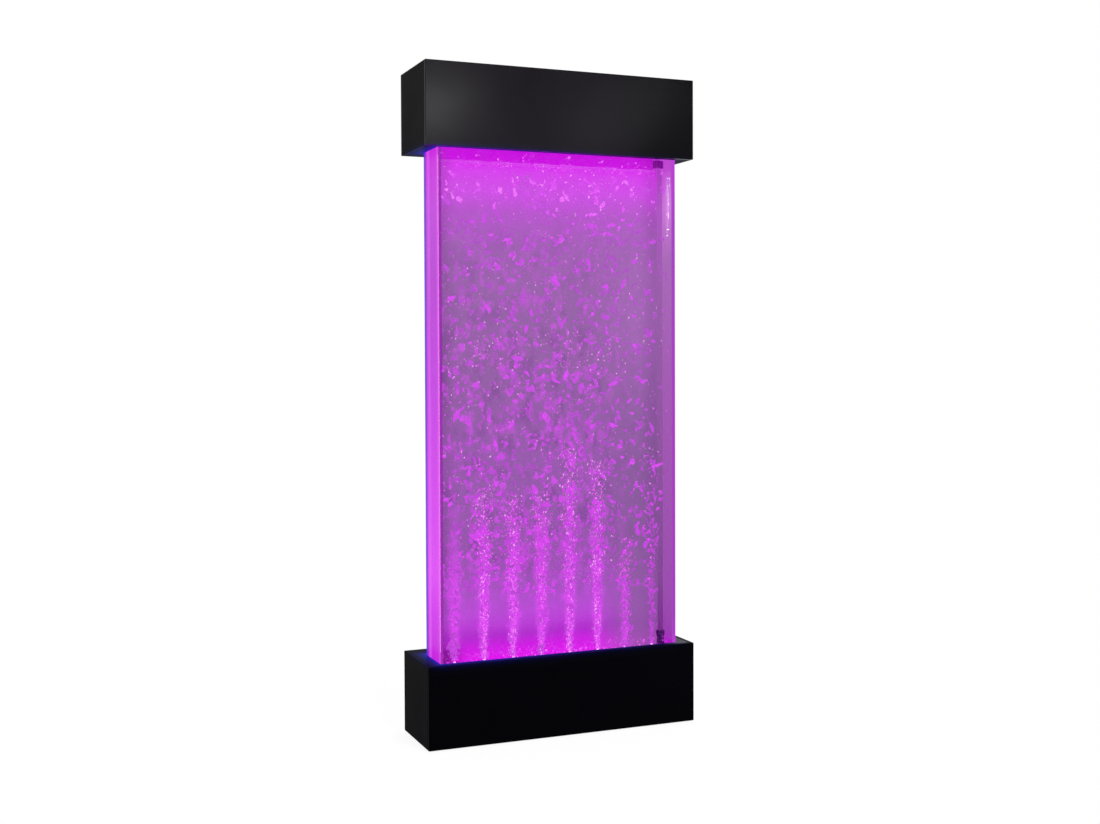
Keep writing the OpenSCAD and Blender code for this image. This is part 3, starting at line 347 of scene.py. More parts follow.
def makeLightSpill(plan):
    # painted light: emission on the boards round the tank, standing in for light that spills onto them from
    # the tank
    tree, given, result = newGroup(
        "tankLightSpill",
        {"Half Width": 0.347, "Front": -0.084, "Back": 0.044, "Level": 0.223, "Reach": 0.02, "Rise": 0.004,
         "Right Share": 0.12},
        {"Mask": "Float"})
    place = objectPlace(tree)
    x, y, z = split(tree, place)
    outX = calc(tree, "MAXIMUM", minus(tree, calc(tree, "ABSOLUTE", x), given["Half Width"]), 0)
    beyond = calc(tree, "MAXIMUM", minus(tree, given["Front"], y), minus(tree, y, given["Back"]))
    outY = calc(tree, "MAXIMUM", beyond, 0)
    flat = calc(tree, "SQRT", plus(tree, calc(tree, "POWER", outX, 2), calc(tree, "POWER", outY, 2)))
    away = calc(tree, "ABSOLUTE", minus(tree, z, given["Level"]))
    fall = calc(tree, "DIVIDE", flat, given["Reach"])
    drop = calc(tree, "DIVIDE", away, given["Rise"])
    mask = calc(tree, "EXPONENT", times(tree, plus(tree, fall, drop), -1))
    ripple = times(tree, noise(tree, place, plan["ripple"], 1.0), plan["rippleShare"])
    mask = times(tree, mask, plus(tree, ripple, plan["rippleLeast"]))
    mask = times(tree, mask, remap(tree, x, *plan["ends"], 1.0, given["Right Share"]))
    feed(tree, result["Mask"], mask)
    return tree


def skinGroup(name, inputs, partsOf):
    # a group that gives a surface its colour, roughness and height
    tree, given, result = newGroup(name, inputs, {"Colour": "Color", "Roughness": "Float", "Height": "Float"})
    for socket, value in zip(result, partsOf(tree, given, objectPlace(tree))):
        feed(tree, socket, value)
    return tree


def boardGrain(tree, given, place):
    # fine grain and specks of a black laminated board
    grain = noise(tree, place, given["Grain"], detail=3.0, rough=0.6)
    cloud = noise(tree, place, given["Cloud"], detail=3.0, rough=0.55, warp=0.4)
    colour = blend(tree, times(tree, grain, cloud), given["Dark"], given["Light"])
    worn = plus(tree, times(tree, cloud, 0.7), times(tree, grain, 0.3))
    return colour, remap(tree, worn, 0.35, 0.65, given["Smooth"], given["Rough"]), grain


def mouldedSkin(tree, given, place):
    # moulded plastic, rubber and paint: a tight grain with a faint change of tone
    grain = noise(tree, place, given["Grain"], 2.0)
    tone = remap(tree, noise(tree, place, 14.0, 3.0), 0.35, 0.65)
    colour = blend(tree, tone, given["Shade"], given["Colour"])
    return colour, remap(tree, grain, 0.3, 0.7, given["Smooth"], given["Rough"]), grain


def brushedMetal(tree, given, place):
    # drawn or brushed metal: long streaks along one direction, with dull spots
    streak = noise(tree, stretched(tree, place, given["Streaks"]), 1.0, 2.0)
    spot = noise(tree, place, 60.0, detail=3.0, rough=0.6)
    colour = blend(tree, remap(tree, spot, 0.35, 0.7), given["Bright"], given["Dull"])
    both = times(tree, plus(tree, streak, spot), 0.5)
    return colour, remap(tree, both, 0.35, 0.65, given["Smooth"], given["Rough"]), streak


def sawnWood(tree, given, place, plyWave=2600.0):
    # plain softwood or plywood: rings drawn out along the grain, and thin plies across it
    along = stretched(tree, place, given["Grain"])
    ring = noise(tree, along, 1.0, detail=4.0, rough=0.6, warp=1.2)
    fibre = noise(tree, along, 9.0, 2.0)
    ply = calc(tree, "SINE", times(tree, split(tree, place)[2], plyWave))
    ply = times(tree, remap(tree, ply, -0.2, 0.2), given["Plies"])
    shade = calc(tree, "MAXIMUM", remap(tree, ring, 0.35, 0.7), ply)
    colour = blend(tree, shade, given["Light"], given["Dark"])
    return colour, remap(tree, fibre, 0.3, 0.7, 0.55, 0.75), fibre


lightSpillGroup = makeLightSpill(lightSpillPlan)
boardGroup = skinGroup("boardGrain", {
    "Dark": black, "Light": white, "Grain": 320.0, "Cloud": 3.0, "Smooth": 0.34, "Rough": 0.5}, boardGrain)
mouldGroup = skinGroup("mouldedSkin", {
    "Colour": white, "Shade": black, "Grain": 900.0, "Smooth": 0.35, "Rough": 0.5}, mouldedSkin)
metalGroup = skinGroup("brushedMetal", {
    "Bright": white, "Dull": black, "Streaks": (900.0, 900.0, 20.0), "Smooth": 0.24,
    "Rough": 0.42}, brushedMetal)
woodGroup = skinGroup("sawnWood", {
    "Light": white, "Dark": black, "Grain": (60.0, 60.0, 4.0), "Plies": 0.0}, sawnWood)

glowLow, glowHigh = 0.13, 1.66  # heights between which the lit parts change colour


def byHeight(tree, stops):
    # a colour for each height in metres, blended between the stops
    z = split(tree, objectPlace(tree))[2]
    spots = [((height - glowLow) / (glowHigh - glowLow), screen(*colour)) for height, colour in stops]
    return ramp(tree, remap(tree, z, glowLow, glowHigh), spots)


columnRow = {"first": -0.294, "pitch": 0.084}

glowPlan = {
    # painted light: the glow's colour by height
    "stops": [
        (0.205, (226, 12, 238)), (0.236, (206, 20, 226)), (0.268, (174, 38, 203)), (0.300, (184, 60, 212)),
        (0.330, (182, 72, 211)), (0.400, (165, 79, 191)), (0.470, (154, 80, 177)), (0.560, (146, 84, 168)),
        (0.760, (149, 87, 170)), (0.950, (144, 91, 162)), (1.200, (148, 95, 165)), (1.330, (157, 92, 176)),
        (1.420, (178, 82, 200)), (1.480, (204, 74, 227)), (1.535, (214, 62, 236)), (1.552, (216, 44, 238)),
        (1.556, (204, 14, 226)), (1.660, (196, 10, 218))],
    "bendScale": 55.0,
    "bendReach": (0.034, 0.034, 0.034),
    "patchScale": (1.0, 1.0, 0.75),  # drawn out upwards
    "patchColour": screen(220, 74, 243),
    "fine": (0.2, 0.62, 0.5),  # core and edge of a patch, and share of cells with one
    "broad": (0.1, 0.6, 0.4),
    "broadScale": 0.6,
    "broadWeight": 0.9,
    "lowFade": (0.28, 0.5),
    "highFade": (0.95, 1.45, 1.0, 0.15),
    "rightFade": (0.05, 0.33, 1.0, 0.35),
    # painted shade spots through the glow
    "shadeSpotStretch": (1.0, 1.0, 0.6),
    "shadeSpotScale": 24.0,
    "shadeSpotBand": (0.48, 0.7),
    "shadeSpotColour": screen(116, 62, 140),
    # painted glow bands behind the columns
    "laneScale": 16.0,
    "laneWander": 0.02,
    "laneShift": (-0.3, 0.3, 0.0235, 0.0295),  # puts each band behind its column in the front view
    "haloWidth": (0.05, 0.29, 1.0, 0.0),  # in shares of the pitch
    "haloHigh": (0.36, 0.66, 0.85, 0.0),
    "haloLow": (0.23, 0.3),
    "haloRight": (0.14, 0.2, 1.0, 0.3),
    "haloColour": screen(216, 72, 240),
    "greyRight": (0.10, 0.28, 0.0, 0.75),
    "greyHigh": (1.25, 1.5, 1.0, 0.0),
    "greyTurn": (0.7, 1.2),
    "greyColours": (screen(130, 88, 148), screen(164, 102, 182)),
    # painted shade at both ends, at the left edge and at the left foot, then a blue painted rim at the very
    # ends
    "edge": (0.27, 0.325, 0.0),
    "endShadeColour": screen(96, 34, 116),
    "left": (-0.303, -0.270),
    "paintedLeftColour": screen(96, 44, 112),
    "footShadeSide": (-0.31, -0.235, 0.8, 0.0),
    "footShadeHigh": (0.225, 0.262, 1.0, 0.0),
    "footShadeColour": screen(104, 8, 124),
    "rim": (0.3400, 0.3440),
    "rimGlowColour": screen(58, 52, 196),
}


def makeGlow(plan):
    # painted light: glow of the lit water as a colour by height, with soft painted glow patches, painted
    # shade spots, painted glow bands behind the columns, painted shade at its ends and left foot and a blue
    # painted rim
    tree, given, result = newGroup(
        "tankGlow",
        {"Patches": 0.35, "Patch Size": 52.0, "Shades": 0.45, "Edge Shade": 0.2, "Left Shade": 0.12},
        {"Colour": "Color"})
    place = objectPlace(tree)
    x, _, z = split(tree, place)
    fromMiddle = calc(tree, "ABSOLUTE", x)
    # painted glow patches for soft out-of-focus bubbles, thickest in the lower half
    bend = stretched(tree, wandering(tree, place, plan["bendScale"]), plan["bendReach"])
    bent = stretched(tree, vectorCalc(tree, "ADD", place, bend), plan["patchScale"])
    fine = blotches(tree, bent, given["Patch Size"], *plan["fine"])
    broad = blotches(tree, bent, times(tree, given["Patch Size"], plan["broadScale"]), *plan["broad"])
    patch = calc(tree, "MAXIMUM", fine, times(tree, broad, plan["broadWeight"]))
    lowFade = remap(tree, z, *plan["lowFade"])
    highFade = remap(tree, z, *plan["highFade"])
    patch = times(tree, patch, lowFade, highFade, remap(tree, x, *plan["rightFade"]), given["Patches"])
    # painted shade: darker spots through the glow
    shadeSpots = noise(tree, stretched(tree, place, plan["shadeSpotStretch"]), plan["shadeSpotScale"], 2.0)
    shadeSpots = remap(tree, shadeSpots, *plan["shadeSpotBand"], smooth=True)
    shadeSpots = times(tree, shadeSpots, given["Shades"], lowFade, highFade)
    colour = blend(tree, shadeSpots, byHeight(tree, plan["stops"]), plan["shadeSpotColour"])
    colour = blend(tree, patch, colour, plan["patchColour"])
    # painted glow: a soft band behind each column
    wander = times(tree, noise(tree, place, plan["laneScale"], 2.0), plan["laneWander"])
    lane = minus(tree, plus(tree, x, wander), remap(tree, x, *plan["laneShift"]))
    lane = calc(tree, "DIVIDE", minus(tree, lane, columnRow["first"]), columnRow["pitch"])
    lane = calc(tree, "ABSOLUTE", minus(tree, calc(tree, "FRACT", plus(tree, lane, 0.5)), 0.5))
    halo = times(
        tree, remap(tree, lane, *plan["haloWidth"], smooth=True), remap(tree, z, *plan["haloHigh"]),
        remap(tree, x, *plan["haloRight"]), remap(tree, z, *plan["haloLow"]))
    colour = blend(tree, halo, colour, plan["haloColour"])
    # greyer towards the right; painted shade darker at both ends, at the left edge and at the left foot, and
    # a blue painted rim at the very ends
    greyer = times(tree, remap(tree, x, *plan["greyRight"], smooth=True), remap(tree, z, *plan["greyHigh"]))
    grey = blend(tree, remap(tree, z, *plan["greyTurn"], smooth=True), *plan["greyColours"])
    colour = blend(tree, greyer, colour, grey)
    edge = remap(tree, fromMiddle, *plan["edge"], given["Edge Shade"], smooth=True)
    colour = blend(tree, edge, colour, plan["endShadeColour"])
    left = remap(tree, x, *plan["left"], given["Left Shade"], 0.0, smooth=True)
    colour = blend(tree, left, colour, plan["paintedLeftColour"])
    foot = remap(tree, x, *plan["footShadeSide"], smooth=True)
    foot = times(tree, foot, remap(tree, z, *plan["footShadeHigh"], smooth=True))
    colour = blend(tree, foot, colour, plan["footShadeColour"])
    colour = blend(tree, remap(tree, fromMiddle, *plan["rim"]), colour, plan["rimGlowColour"])
    feed(tree, result["Colour"], colour)
    return tree


glowGroup = makeGlow(glowPlan)
print("effects: shared node groups made")


# finishes of the boards

# painted blue light from the tank on the base and canopy boards: the shape of each pool and its colour
baseLightSpill = ({"Level": 0.223, "Reach": 0.012, "Rise": 0.005}, (34, 40, 200))
canopyLightSpill = ({"Level": 1.580, "Reach": 0.016, "Rise": 0.004}, (36, 30, 190))
# dark, light, smooth and rough; specular level; painted light that spills on it from the tank; span and tone
# of its painted right end, a painted sheen on the deck board and painted shade on the canopy board
# the base, deck and canopy boards are lit and shaded copies of one black laminate: the base board is painted
# darker as shade, the canopy front and end boards lighter as painted light
boardFinishes = {
    "base board": (((2, 2, 4), (6, 6, 10), 0.45, 0.6), 0.005, baseLightSpill),
    "deck board": (((8, 8, 10), (20, 20, 23), 0.4, 0.55), 0.004, baseLightSpill, ((0.30, 0.37), (120, 120, 122))),
    "canopy board": (((4, 4, 6), (34, 30, 37), 0.12, 0.26), 0.016, canopyLightSpill, ((0.10, 0.34), (12, 11, 15))),
    "canopy end board": (((8, 8, 10), (22, 21, 25), 0.4, 0.55), 0.006, canopyLightSpill),
    "back board": (((12, 12, 14), (34, 34, 38), 0.4, 0.6), 0.03),
    "door board": (((18, 18, 20), (44, 44, 48), 0.35, 0.5), 0.05),
}


def wear(tree, shader, skin, bumpSize, bumpDepth):
    relief = bump(tree, skin["Height"], bumpSize, bumpDepth)
    give(tree, shader, Base_Color=skin["Colour"], Roughness=skin["Roughness"], Normal=relief)


def boardMaterial(name, skin, specular, lightSpill=None, paintedRightEnd=None):
    # black laminate, with painted light spilling on it and a painted right end where one is given
    material, tree, shader = newMaterial(name, Specular_IOR_Level=specular)
    dark, light, smooth, rough = skin
    light = screen(*light)
    # painted sheen or painted shade: the light tone turns to another one towards the right end
    if paintedRightEnd:
        span, tone = paintedRightEnd
        x = split(tree, objectPlace(tree))[0]
        light = blend(tree, remap(tree, x, *span, smooth=True), light, screen(*tone))
    grain = useGroup(tree, boardGroup, Dark=screen(*dark), Light=light, Smooth=smooth, Rough=rough)
    wear(tree, shader, grain, bumpSize=0.15, bumpDepth=0.0003)
    # painted light from the tank, given as emission on the board
    if lightSpill:
        shape, colour = lightSpill
        mask = useGroup(tree, lightSpillGroup, **shape)["Mask"]
        give(tree, shader, Emission_Color=blend(tree, mask, black, screen(*colour)), Emission_Strength=1.0)
    return material


boards = {name: boardMaterial(name, *finish) for name, finish in boardFinishes.items()}


# plain finishes

def skinMaterial(name, group, labels, colours, skin, bumpSize=0.2, bumpDepth=0.0002, **plain):
    # one of the shared effects with its own two colours and values
    material, tree, shader = newMaterial(name, **plain)
    tones = {label: screen(*colour) for label, colour in zip(labels, colours)}
    wear(tree, shader, useGroup(tree, group, **tones, **skin), bumpSize, bumpDepth)
    return material


def moulded(name, colour, shade, skin=None, **more):
    return skinMaterial(name, mouldGroup, ("Colour", "Shade"), (colour, shade), skin or {}, **more)


def metal(name, bright, dull, **skin):
    return skinMaterial(name, metalGroup, ("Bright", "Dull"), (bright, dull), skin, Metallic=1.0)


def wood(name, light, dark, **skin):
    return skinMaterial(name, woodGroup, ("Light", "Dark"), (light, dark), skin, Specular_IOR_Level=0.25)


blackPlastic = moulded("black plastic", (34, 34, 37), (24, 24, 27), Specular_IOR_Level=0.15)
greyPlastic = moulded("grey plastic", (112, 114, 120), (92, 94, 100))
whitePlastic = moulded("white plastic", (226, 226, 228), (205, 205, 208))
redPlastic = moulded("red plastic", (186, 34, 40), (150, 24, 30), {"Smooth": 0.25, "Rough": 0.38})
rubber = moulded("rubber", (28, 28, 29), (18, 18, 19), {"Smooth": 0.6, "Rough": 0.8, "Grain": 500.0})
foam = moulded(
    "foam", (58, 58, 62), (40, 40, 44), {"Smooth": 0.85, "Rough": 0.95, "Grain": 700.0},
    bumpSize=0.6, bumpDepth=0.001)
blackCable = moulded("black cable", (30, 30, 32), (22, 22, 24), {"Smooth": 0.4, "Rough": 0.5})
whiteCable = moulded("white cable", (222, 222, 220), (200, 200, 198), {"Smooth": 0.4, "Rough": 0.5})
silicone = moulded(
    "silicone tube", (220, 226, 232), (196, 204, 212), {"Smooth": 0.2, "Rough": 0.35}, Alpha=0.75)
steel = metal("zinc-plated steel", (188, 190, 196), (140, 142, 150))
darkSteel = metal("dark steel", (70, 71, 76), (44, 45, 50), Smooth=0.3, Rough=0.5)
brass = metal("brass", (206, 168, 96), (168, 130, 66))
aluminium = metal("aluminium", (198, 200, 205), (160, 162, 168), Streaks=(20.0, 900.0, 900.0))
pine = wood("pine", (208, 170, 118), (170, 126, 76), Grain=(80.0, 80.0, 5.0))
pineAcross = wood("pine across", (208, 170, 118), (170, 126, 76), Grain=(80.0, 5.0, 80.0))
plywood = wood("plywood", (202, 170, 126), (158, 122, 80), Grain=(5.0, 60.0, 90.0), Plies=0.5)
print("finishes: plain ones made")


# lit and clear finishes

def litMaterial(name, colourOf, **plain):
    # gives off a colour over a body dull enough to leave it nearly as written: the LED chips' and diffusers'
    # own light, and painted light from the LEDs on the other parts
    material, tree, shader = newMaterial(name, Emission_Strength=1.0, **plain)
    give(tree, shader, Emission_Color=colourOf(tree))
    material.cycles.emission_sampling = "NONE"
    return material


def unevenGloss(material, scale, band, rough, detail=2.0):
    # roughness that wanders between two values
    tree = material.node_tree
    spots = noise(tree, objectPlace(tree), scale, detail)
    give(tree, tree.nodes["Principled BSDF"], Roughness=remap(tree, spots, *band, *rough))


def spotted(scale, *stops, stretch=(1, 1, 1)):
    # a noise that goes through two or more colours
    def colourOf(tree):
        spots = noise(tree, stretched(tree, objectPlace(tree), stretch), scale, 2.0)
        return ramp(tree, spots, [(at, screen(*colour)) for at, colour in stops])
    return colourOf


# painted light: the opal sheet glows in the colours of the lit water and bubbles before it, from the tankGlow
# group
backSheet = litMaterial(
    "opal back sheet", lambda tree: useGroup(tree, glowGroup, Patches=0.85)["Colour"],
    Base_Color=screen(20, 8, 24), Specular_IOR_Level=0.15)
unevenGloss(backSheet, 40.0, (0.3, 0.7), (0.3, 0.45))

# painted light on the side sheets: colours by height outside and inside, highlight streaks, a dark violet
# back edge and shade on the front face
sidePlan = {
    "outer": [
        (0.205, (196, 14, 216)), (0.250, (196, 30, 220)), (0.350, (206, 52, 232)), (0.450, (218, 74, 241)),
        (0.700, (206, 66, 232)), (0.950, (190, 62, 220)), (1.250, (180, 68, 206)), (1.420, (188, 72, 214)),
        (1.560, (200, 34, 220)), (1.660, (200, 30, 220))],
    "inner": [
        (0.205, (190, 14, 214)), (0.225, (172, 30, 196)), (0.250, (150, 60, 172)), (0.350, (152, 74, 172)),
        (0.900, (160, 88, 176)), (1.300, (165, 104, 180)), (1.450, (200, 116, 213)), (1.560, (190, 70, 208))],
    "depth": (-0.084, 0.044),
    "streaks": [(0.0, 0.25), (0.08, 1.0), (0.18, 0.15), (0.55, 0.1), (0.68, 0.9), (0.84, 0.2), (1.0, 0.1)],
    "highlightStreakColour": screen(232, 112, 250),
    "wave": (40, 40, 3),
    "waveShare": (0.3, 0.7, 0.3, 0.7),
    "backEdge": (0.016, 0.036, 0.0, 0.85),
    "paintedBackEdgeColour": screen(96, 44, 200),
    "insideFace": (0.3391, 0.3394, 1.0, 0.0),
    "frontFace": (-0.0759, -0.0757, 1.0, 0.0),
    "frontShadeColour": screen(160, 80, 182),
}


def sideGlow(tree, plan=sidePlan):
    # painted light of the edge-lit sheet: a bright band with two painted highlight streaks down it, a painted
    # dark violet back edge, painted shade on its front face and painted glow on its inside face
    place = objectPlace(tree)
    x, y = split(tree, place)[:2]
    tones = [(at, (tone, tone, tone, 1)) for at, tone in plan["streaks"]]
    streaks = ramp(tree, remap(tree, y, *plan["depth"]), tones)
    wave = noise(tree, stretched(tree, place, plan["wave"]), 1.0, 2.0)
    share = times(tree, split(tree, streaks)[0], remap(tree, wave, *plan["waveShare"]))
    colour = blend(tree, share, byHeight(tree, plan["outer"]), plan["highlightStreakColour"])
    colour = blend(tree, remap(tree, y, *plan["backEdge"], smooth=True), colour, plan["paintedBackEdgeColour"])
    inside = remap(tree, calc(tree, "ABSOLUTE", x), *plan["insideFace"])
    colour = blend(tree, inside, colour, byHeight(tree, plan["inner"]))
    return blend(tree, remap(tree, y, *plan["frontFace"]), colour, plan["frontShadeColour"])


sideSheet = litMaterial("lit side sheet", sideGlow, Base_Color=screen(30, 10, 36), Specular_IOR_Level=0.01)
unevenGloss(sideSheet, 60.0, (0.3, 0.7), (0.25, 0.4))


def clearMaterial(name, ior, tint, **plain):
    # clear glassy body whose mirror image of the room is kept faint
    tone = (tint, tint, tint, 1)
    return newMaterial(name, Base_Color=white, IOR=ior, Transmission_Weight=1.0, Specular_Tint=tone, **plain)


frontPlan = {
    "ends": (0.3386, 0.3394),
    "endTint": (0.8, 0.24, 0.9, 1),
    "paintedRightEnd": [
        (0.205, (150, 14, 160)), (0.24, (96, 20, 106)), (0.3, (62, 24, 70)), (1.4, (70, 34, 78)),
        (1.66, (120, 24, 130))],
    "paintedLeftEnd": (-0.3468, -0.3465, 1.0, 0.0),
    "paintedLeftColour": screen(192, 20, 158),
}


def makeFrontSheet(plan):
    # clear in its middle; its two ends are tinted, with painted glow standing in for light from within: dim
    # magenta by height at the right end and pink on the left end face
    material, tree, shader = clearMaterial("clear front sheet", 1.49, 0.02, Emission_Strength=1.0)
    x = split(tree, objectPlace(tree))[0]
    ends = remap(tree, calc(tree, "ABSOLUTE", x), *plan["ends"])
    glow = blend(tree, remap(tree, x, *plan["ends"]), black, byHeight(tree, plan["paintedRightEnd"]))
    glow = blend(tree, remap(tree, x, *plan["paintedLeftEnd"]), glow, plan["paintedLeftColour"])
    give(tree, shader, Base_Color=blend(tree, ends, white, plan["endTint"]), Emission_Color=glow)
    material.cycles.emission_sampling = "NONE"
    unevenGloss(material, 30.0, (0.55, 0.75), (0.0, 0.04), 3.0)
    return material


frontSheet = makeFrontSheet(frontPlan)
waterFinish = clearMaterial("water", 1.33, 0.05)[0]
unevenGloss(waterFinish, 12.0, (0.6, 0.9), (0.0, 0.02))


def chipRow(tree, wave=94.0):
    # a brighter spot over each chip of the strip
    x = split(tree, objectPlace(tree))[0]
    row = calc(tree, "ABSOLUTE", calc(tree, "SINE", times(tree, x, wave)))
    return ramp(tree, row, [(0.0, screen(226, 60, 244)), (1.0, screen(252, 170, 255))])


# painted light on the cable conduit in the water, by height: darker low down, paler and more magenta higher
# up
conduitGlowStops = [
    (0.205, (112, 24, 132)), (0.4, (126, 68, 144)), (0.75, (138, 82, 154)), (1.2, (150, 92, 166)),
    (1.45, (172, 84, 192)), (1.6, (170, 40, 190))]


# painted light on the black plastic glands and drain bulkhead in the water: dark purple spots, glowing
# magenta above the heights given by high
def glandGlow(tree, high=(1.4, 1.5)):
    low = spotted(130.0, (0.35, (34, 2, 62)), (0.65, (82, 10, 106)))(tree)
    share = remap(tree, split(tree, objectPlace(tree))[2], *high)
    return blend(tree, share, low, screen(120, 8, 140))


# painted light: the clear floor and brace plates glow in streaks with the LED light below them
plateFinish = litMaterial(
    "lit clear plate",
    spotted(1.0, (0.3, (200, 16, 222)), (0.55, (224, 30, 240)), (0.7, (248, 150, 255)), stretch=(14, 60, 10)),
    Base_Color=screen(30, 10, 36), Specular_IOR_Level=0.3)
diffuserFinish = litMaterial("lit diffuser", chipRow, Base_Color=screen(60, 50, 70), Roughness=0.4)
chipFinish = litMaterial(
    "lit chips", spotted(220.0, (0.4, (240, 120, 255)), (0.6, (255, 220, 255))),
    Base_Color=screen(200, 190, 160), Roughness=0.4)
conduitFinish = litMaterial(
    "lit conduit", lambda tree: byHeight(tree, conduitGlowStops),
    Base_Color=screen(30, 22, 36), Roughness=0.5, Specular_IOR_Level=0.02)
glandFinish = litMaterial(
    "lit black plastic", glandGlow, Base_Color=screen(24, 24, 27), Roughness=0.5, Specular_IOR_Level=0.02)
# painted light: pale glints on the nozzles in the bubble light
nozzleFinish = litMaterial(
    "lit nozzles", spotted(160.0, (0.35, (226, 110, 240)), (0.65, (255, 225, 255))),
    Base_Color=screen(200, 196, 204), Roughness=0.4)
print("finishes: lit ones made")


# boards with eased edges

easingPlan = {
    "weld": 1e-6,  # corners closer than this are one
    "flat": math.radians(0.5),  # faces that differ less than this are joined
    "sharp": math.radians(35),  # edges that turn more than this are rounded
    "segments": 2,
}
easedBoards = {
    "baseFrontBoard": ("base_front_board", 0.0012, "base board"),
    "baseSideBoards": ("base_side_boards", 0.0010, "base board"),
    "baseDeck": ("base_deck", 0.0006, "deck board"),
    "baseBackBoard": ("base_back_board", 0.0006, "back board"),
    "serviceDoor": ("service_door", 0.0010, "door board", "door"),
    "canopyFrontBoard": ("canopy_front_board", 0.0012, "canopy board"),
    "canopySideBoards": ("canopy_side_boards", 0.0010, "canopy end board"),
    "canopySoffit": ("canopy_soffit", 0.0006, "canopy end board"),
    "canopyBackBoard": ("canopy_back_board", 0.0006, "back board"),
    "canopyLid": ("canopy_lid", 0.0006, "back board"),
    "fillHatch": ("fill_hatch", 0.0010, "door board", "hatch"),
}


def easedCopy(name, cadName, width, body="root", plan=easingPlan):
    # copies a CAD node, joins its loose triangles and rounds its sharp edges
    mesh = nodes[cadName].data.copy()
    mesh.name = name
    work = bmesh.new()
    work.from_mesh(mesh)
    bmesh.ops.remove_doubles(work, verts=work.verts, dist=plan["weld"])
    bmesh.ops.dissolve_limit(work, angle_limit=plan["flat"], verts=work.verts, edges=work.edges)
    work.to_mesh(mesh)
    work.free()
    piece = newPiece(name, mesh, body, (cadName,))
    easing = piece.modifiers.new("easing", "BEVEL")
    easing.width = width
    easing.segments = plan["segments"]
    easing.limit_method = "ANGLE"
    easing.angle_limit = plan["sharp"]


for name, (cadName, width, finish, *body) in easedBoards.items():
    easedCopy(name, cadName, width, *body)
    dress(boards[finish], name)
print("boards:", len(easedBoards), "eased")

dress(boards["base board"], "base_floor_board")
dress(pine, "corner_cleats")
dress(pineAcross, "canopy_bearers", "hatch_battens")
dress(plywood, "tank_trestles", "tank_shelf")
dress(foam, "tank_pad")
dress(rubber, "base_feet", "pump_feet")
dress(darkSteel, "case_screws")
dress(steel, "door_catches", "hinge_fixed_leaves", "hinge_pins", "door_hinge_leaves", "hatch_hinge_leaves")
dress(blackPlastic, "door_knob", "manifold_clips", "air_pumps", "power_inlet")
dress(glandFinish, "drain_bulkhead", "conduit_glands")
dress(greyPlastic, "pump_dial_left", "pump_dial_right")
dress(whitePlastic, "check_valves", "drain_pipe", "light_controller", "terminal_block")
dress(redPlastic, "power_rocker", "drain_lever")
dress(brass, "nozzle_nuts", "hose_barbs", "drain_valve")
dress(aluminium, "air_manifold", "light_channels", "power_supply")
dress(silicone, "air_risers", "air_feed_tubes")
dress(blackCable, "mains_leads")
dress(whiteCable, "light_leads")
dress(nozzleFinish, "bubble_nozzles")
dress(conduitFinish, "cable_conduit")
dress(chipFinish, "light_strips")
dress(diffuserFinish, "light_diffusers")
dress(backSheet, "tank_back_sheet")
dress(sideSheet, "tank_side_sheets")
dress(frontSheet, "tank_front_sheet")
dress(plateFinish, "tank_floor_plate", "tank_brace_plate")
print("nodes: all carried-over nodes dressed")


# water

waterPlan = {
    "halfWidth": 0.3396,  # a little inside the lit sheets, which it wets
    "front": -0.0757,
    "back": 0.0366,
    "low": 0.2053,
    "high": 1.5500,
    "wave": 0.0028,  # height of the waves where the bubbles break
    "waves": [(61, 17, 0.4), (97, -43, 1.9), (143, 71, 3.1), (211, -128, 0.7), (37, 140, 2.2)],
    "fading": 0.25,  # how much each next wave is weaker
    "cellsAcross": 220,
    "cellsDeep": 36,
    "topSlope": 0.5,
    "aboveFoot": 0.01,
}


def waveHeight(x, y, plan):
    # sum of a few crossing waves, the same each run
    total = 0
    for place, (across, deep, start) in enumerate(plan["waves"]):
        total += math.sin(across * x + deep * y + start) / (1 + plan["fading"] * place)
    return total / len(plan["waves"])


def makeWater(plan):
    mesh = bpy.data.meshes.new("waterBody")
    work = bmesh.new()
    across, deep = plan["cellsAcross"], plan["cellsDeep"]
    grid = []
    for j in range(deep + 1):
        y = plan["front"] + (plan["back"] - plan["front"]) * j / deep
        row = []
        for i in range(across + 1):
            x = plan["halfWidth"] * (2 * i / across - 1)
            row.append(work.verts.new((x, y, plan["high"] + plan["wave"] * waveHeight(x, y, plan))))
        grid.append(row)
    for j in range(deep):
        for i in range(across):
            work.faces.new((grid[j][i], grid[j][i + 1], grid[j + 1][i + 1], grid[j + 1][i]))
    rim = grid[0] + [row[-1] for row in grid[1:]] + grid[-1][-2::-1] + [row[0] for row in grid[-2:0:-1]]
    foot = [work.verts.new((v.co.x, v.co.y, plan["low"])) for v in rim]
    for k in range(len(rim)):
        n = (k + 1) % len(rim)
        work.faces.new((rim[k], foot[k], foot[n], rim[n]))
    work.faces.new(foot[::-1])
    bmesh.ops.recalc_face_normals(work, faces=work.faces)
    work.to_mesh(mesh)
    work.free()
    for polygon in mesh.polygons:
        level = abs(polygon.normal.z) > plan["topSlope"]
        polygon.use_smooth = level and polygon.center.z > plan["low"] + plan["aboveFoot"]
    newPiece("waterBody", mesh, "root", ("water",))


makeWater(waterPlan)
dress(waterFinish, "waterBody")
print("water: made")


# bubbles

